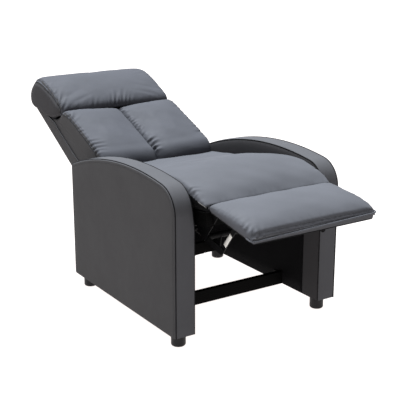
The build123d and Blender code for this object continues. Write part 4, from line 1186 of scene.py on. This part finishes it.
flapCloth = closedSheet(
    "rear_flap_cloth", flapPoints(-flap["thickness"] / 2), flapPoints(flap["thickness"] / 2),
    blackLining,
)
dress(flapCloth, "rear_flap", "black_cloth", "rear_flap")
hemLine = toFrame([(-240, *flapHinge), (240, *flapHinge)])
hem = pipeAlong(
    "rear_flap_hem", "rear_flap", [hemLine], 0.005, 0.02, 14, blackLining, "black_cloth")
print("recliner: cloth made")

# blank pale strip on the left coupler of the linkage
card = {
    "x": -199.25, "thickness": 0.3, "width": 15.0, "rows": 8, "columns": 4,
    "start": (-482.0, 401.0), "end": (-448.0, 357.0),
}
start, way = np.array(card["start"]), np.array(card["end"]) - np.array(card["start"])
cardAcross = np.array([-way[1], way[0]]) / np.linalg.norm(way) * card["width"] / 2
flat = np.array([
    start + way * t + cardAcross * s
    for t in np.linspace(0, 1, card["rows"]) for s in np.linspace(-1, 1, card["columns"])
])
cardFaces = [
    across(x, flat).reshape(card["rows"], card["columns"], 3)
    for x in (card["x"], card["x"] + card["thickness"])
]
cardPiece = closedSheet("blank_strip", *cardFaces, blankCard)
dress(cardPiece, "left_coupler", "nylon")

# rows of stitches beside the seams, laid on the leather they sew
stitch = {"Radius": 0.00045, "Length": 0.0032, "Spacing": 0.0048, "Sides": 6}


def sewOn(name, body, piece, line):
    row = alongSeams(name, stitchTree, [laidOn(piece, line, 0.0002)], stitch, seamThread)
    dress(row, body, "leather")


seamGap = 9.0
top = armLine(300)
run = np.gradient(top, axis=0)
inward = np.column_stack([run[:, 1], -run[:, 0]]) / np.linalg.norm(run, axis=1)[:, None]
inward *= np.sign((inward * (top.mean(0) - top)).sum(1))[:, None]
below = np.linspace(top[-1, 1], arm["low"] + 4, 60)
below = np.column_stack([np.full(60, arm["front"] + seamGap), below])
armRow = np.concatenate([(top + seamGap * inward)[6:], below])
pillowRow = curveThrough([(340, 2), (389, 10), (463, 13), (533, 7), (568, -8)], 140)
padRow = curveThrough([(12, 2), (60, 12), (160, 16), (265, 14), (308, 4)], 140)
for side, name in sides:
    sewOn(f"{name}_arm_stitches", "base", f"{name}_arm", across(side * 326.0, armRow))
    sewOn(f"{name}_pillow_stitches", "back", "head_pad", backLine(side * 230, pillowRow))
    sewOn(f"{name}_pad_stitches", "back", f"{name}_back_pad", backLine(side * 232, padRow))
footrestRow = across(np.linspace(-222, 222, 90), onBoard([(-218, 30)] * 90))
sewOn("footrest_stitches", "footrest", "footrest_top", footrestRow)
print("recliner: stitches laid")

# what the CAD pieces are made of, by their slots in the record
finishes = {
    "leather": greyLeather, "foot_plastic": footPlastic, "steel_black": blackSteel,
    "zinc_steel": zincSteel, "timber": paleTimber, "black_wood": blackTimber,
    "webbing": strapWebbing, "black_cloth": blackLining, "nylon": nylon,
}
blackened = ("footrest_rivets", "drive_rivets", "footrest_screws")
slots = {part["node"]: part["material_slot"] for part in frame["record"]["subparts"]}
for name, node in frame["nodes"].items():
    node.data.materials.clear()
    node.data.materials.append(blackSteel if name in blackened else finishes[slots[name]])
print("recliner: CAD pieces finished")

studio = {
    "floorHalf": 60, "floorTint": (0.12, 0.12, 0.12), "floorGlow": 1.0,
    "glowTint": (1.08, 1.02, 1.0, 1.0), "wallTint": (1.06, 1.02, 1.0, 1.0),
    "skyTint": (1.0, 0.98, 0.96, 1.0), "skyStrength": 0.28,
    "sunTint": (0.93, 0.97, 1.0), "sunStrength": 10.4, "sunAngle": 36,
    "sunFrom": (0.0, 0.4, 1.0),
}
reach = studio["floorHalf"]
floorMesh = bpy.data.meshes.new("floor")
floorMesh.from_pydata(
    [(-reach, -reach, 0), (reach, -reach, 0), (reach, reach, 0), (-reach, reach, 0)],
    [], [(0, 1, 2, 3)])
floor = link(bpy.data.objects.new("floor", floorMesh))
floorPaint, tree, coords = startMaterial("pale floor")
shade = rangeOf(tree, noiseOn(tree, coords, 1.5), 0.0, 1.0)
darker = tuple(0.96 * part for part in studio["floorTint"])
floorMesh.materials.append(painted(floorPaint, {
    "Base Color": mixColours(tree, shade, studio["floorTint"], darker),
    "Roughness": 0.9, "Specular IOR Level": 0.1,
    "Emission Color": studio["glowTint"], "Emission Strength": studio["floorGlow"],
}))

world = bpy.data.worlds.new("studio")
world.use_nodes = True
tree = world.node_tree
sky = tree.nodes["Background"]
fillInputs(tree, sky, {"Color": studio["skyTint"], "Strength": studio["skyStrength"]})
# a white wall behind the floor's far edge, seen but giving no light
wall = addNode(tree, "ShaderNodeBackground", {"Color": studio["wallTint"]})
seen = addNode(tree, "ShaderNodeLightPath").outputs["Is Camera Ray"]
both = addNode(tree, "ShaderNodeMixShader", {0: seen, 1: sky.outputs[0], 2: wall.outputs[0]})
fillInputs(tree, tree.nodes["World Output"], {"Surface": both.outputs[0]})
scene.world = world

sunLight = bpy.data.lights.new("overhead", "SUN")
sunLight.energy = studio["sunStrength"]
sunLight.angle = radians(studio["sunAngle"])
sunLight.color = studio["sunTint"]
sun = link(bpy.data.objects.new("overhead", sunLight))
sun.rotation_euler = Vector(studio["sunFrom"]).to_track_quat("Z", "Y").to_euler()

view = {
    "azimuth": -32.95, "elevation": 16.47, "distance": 3.34186,
    "target": (0.00224, 0.0, 0.35937), "focal": 85.28, "sensor": 36.0, "farthest": 200.0,
}
a, e = radians(view["azimuth"]), radians(view["elevation"])
target = Vector(view["target"]) + Vector((0, frameShift, 0))
away = Vector((sin(a) * cos(e), -cos(a) * cos(e), sin(e)))
cameraData = bpy.data.cameras.new("camera")
cameraData.lens = view["focal"]
cameraData.sensor_width = view["sensor"]
cameraData.clip_end = view["farthest"]
camera = link(bpy.data.objects.new("camera", cameraData))
camera.location = target + away * view["distance"]
camera.rotation_euler = away.to_track_quat("Z", "Y").to_euler()
scene.camera = camera
scene.view_settings.view_transform = "Standard"
print("recliner: stage and camera set")
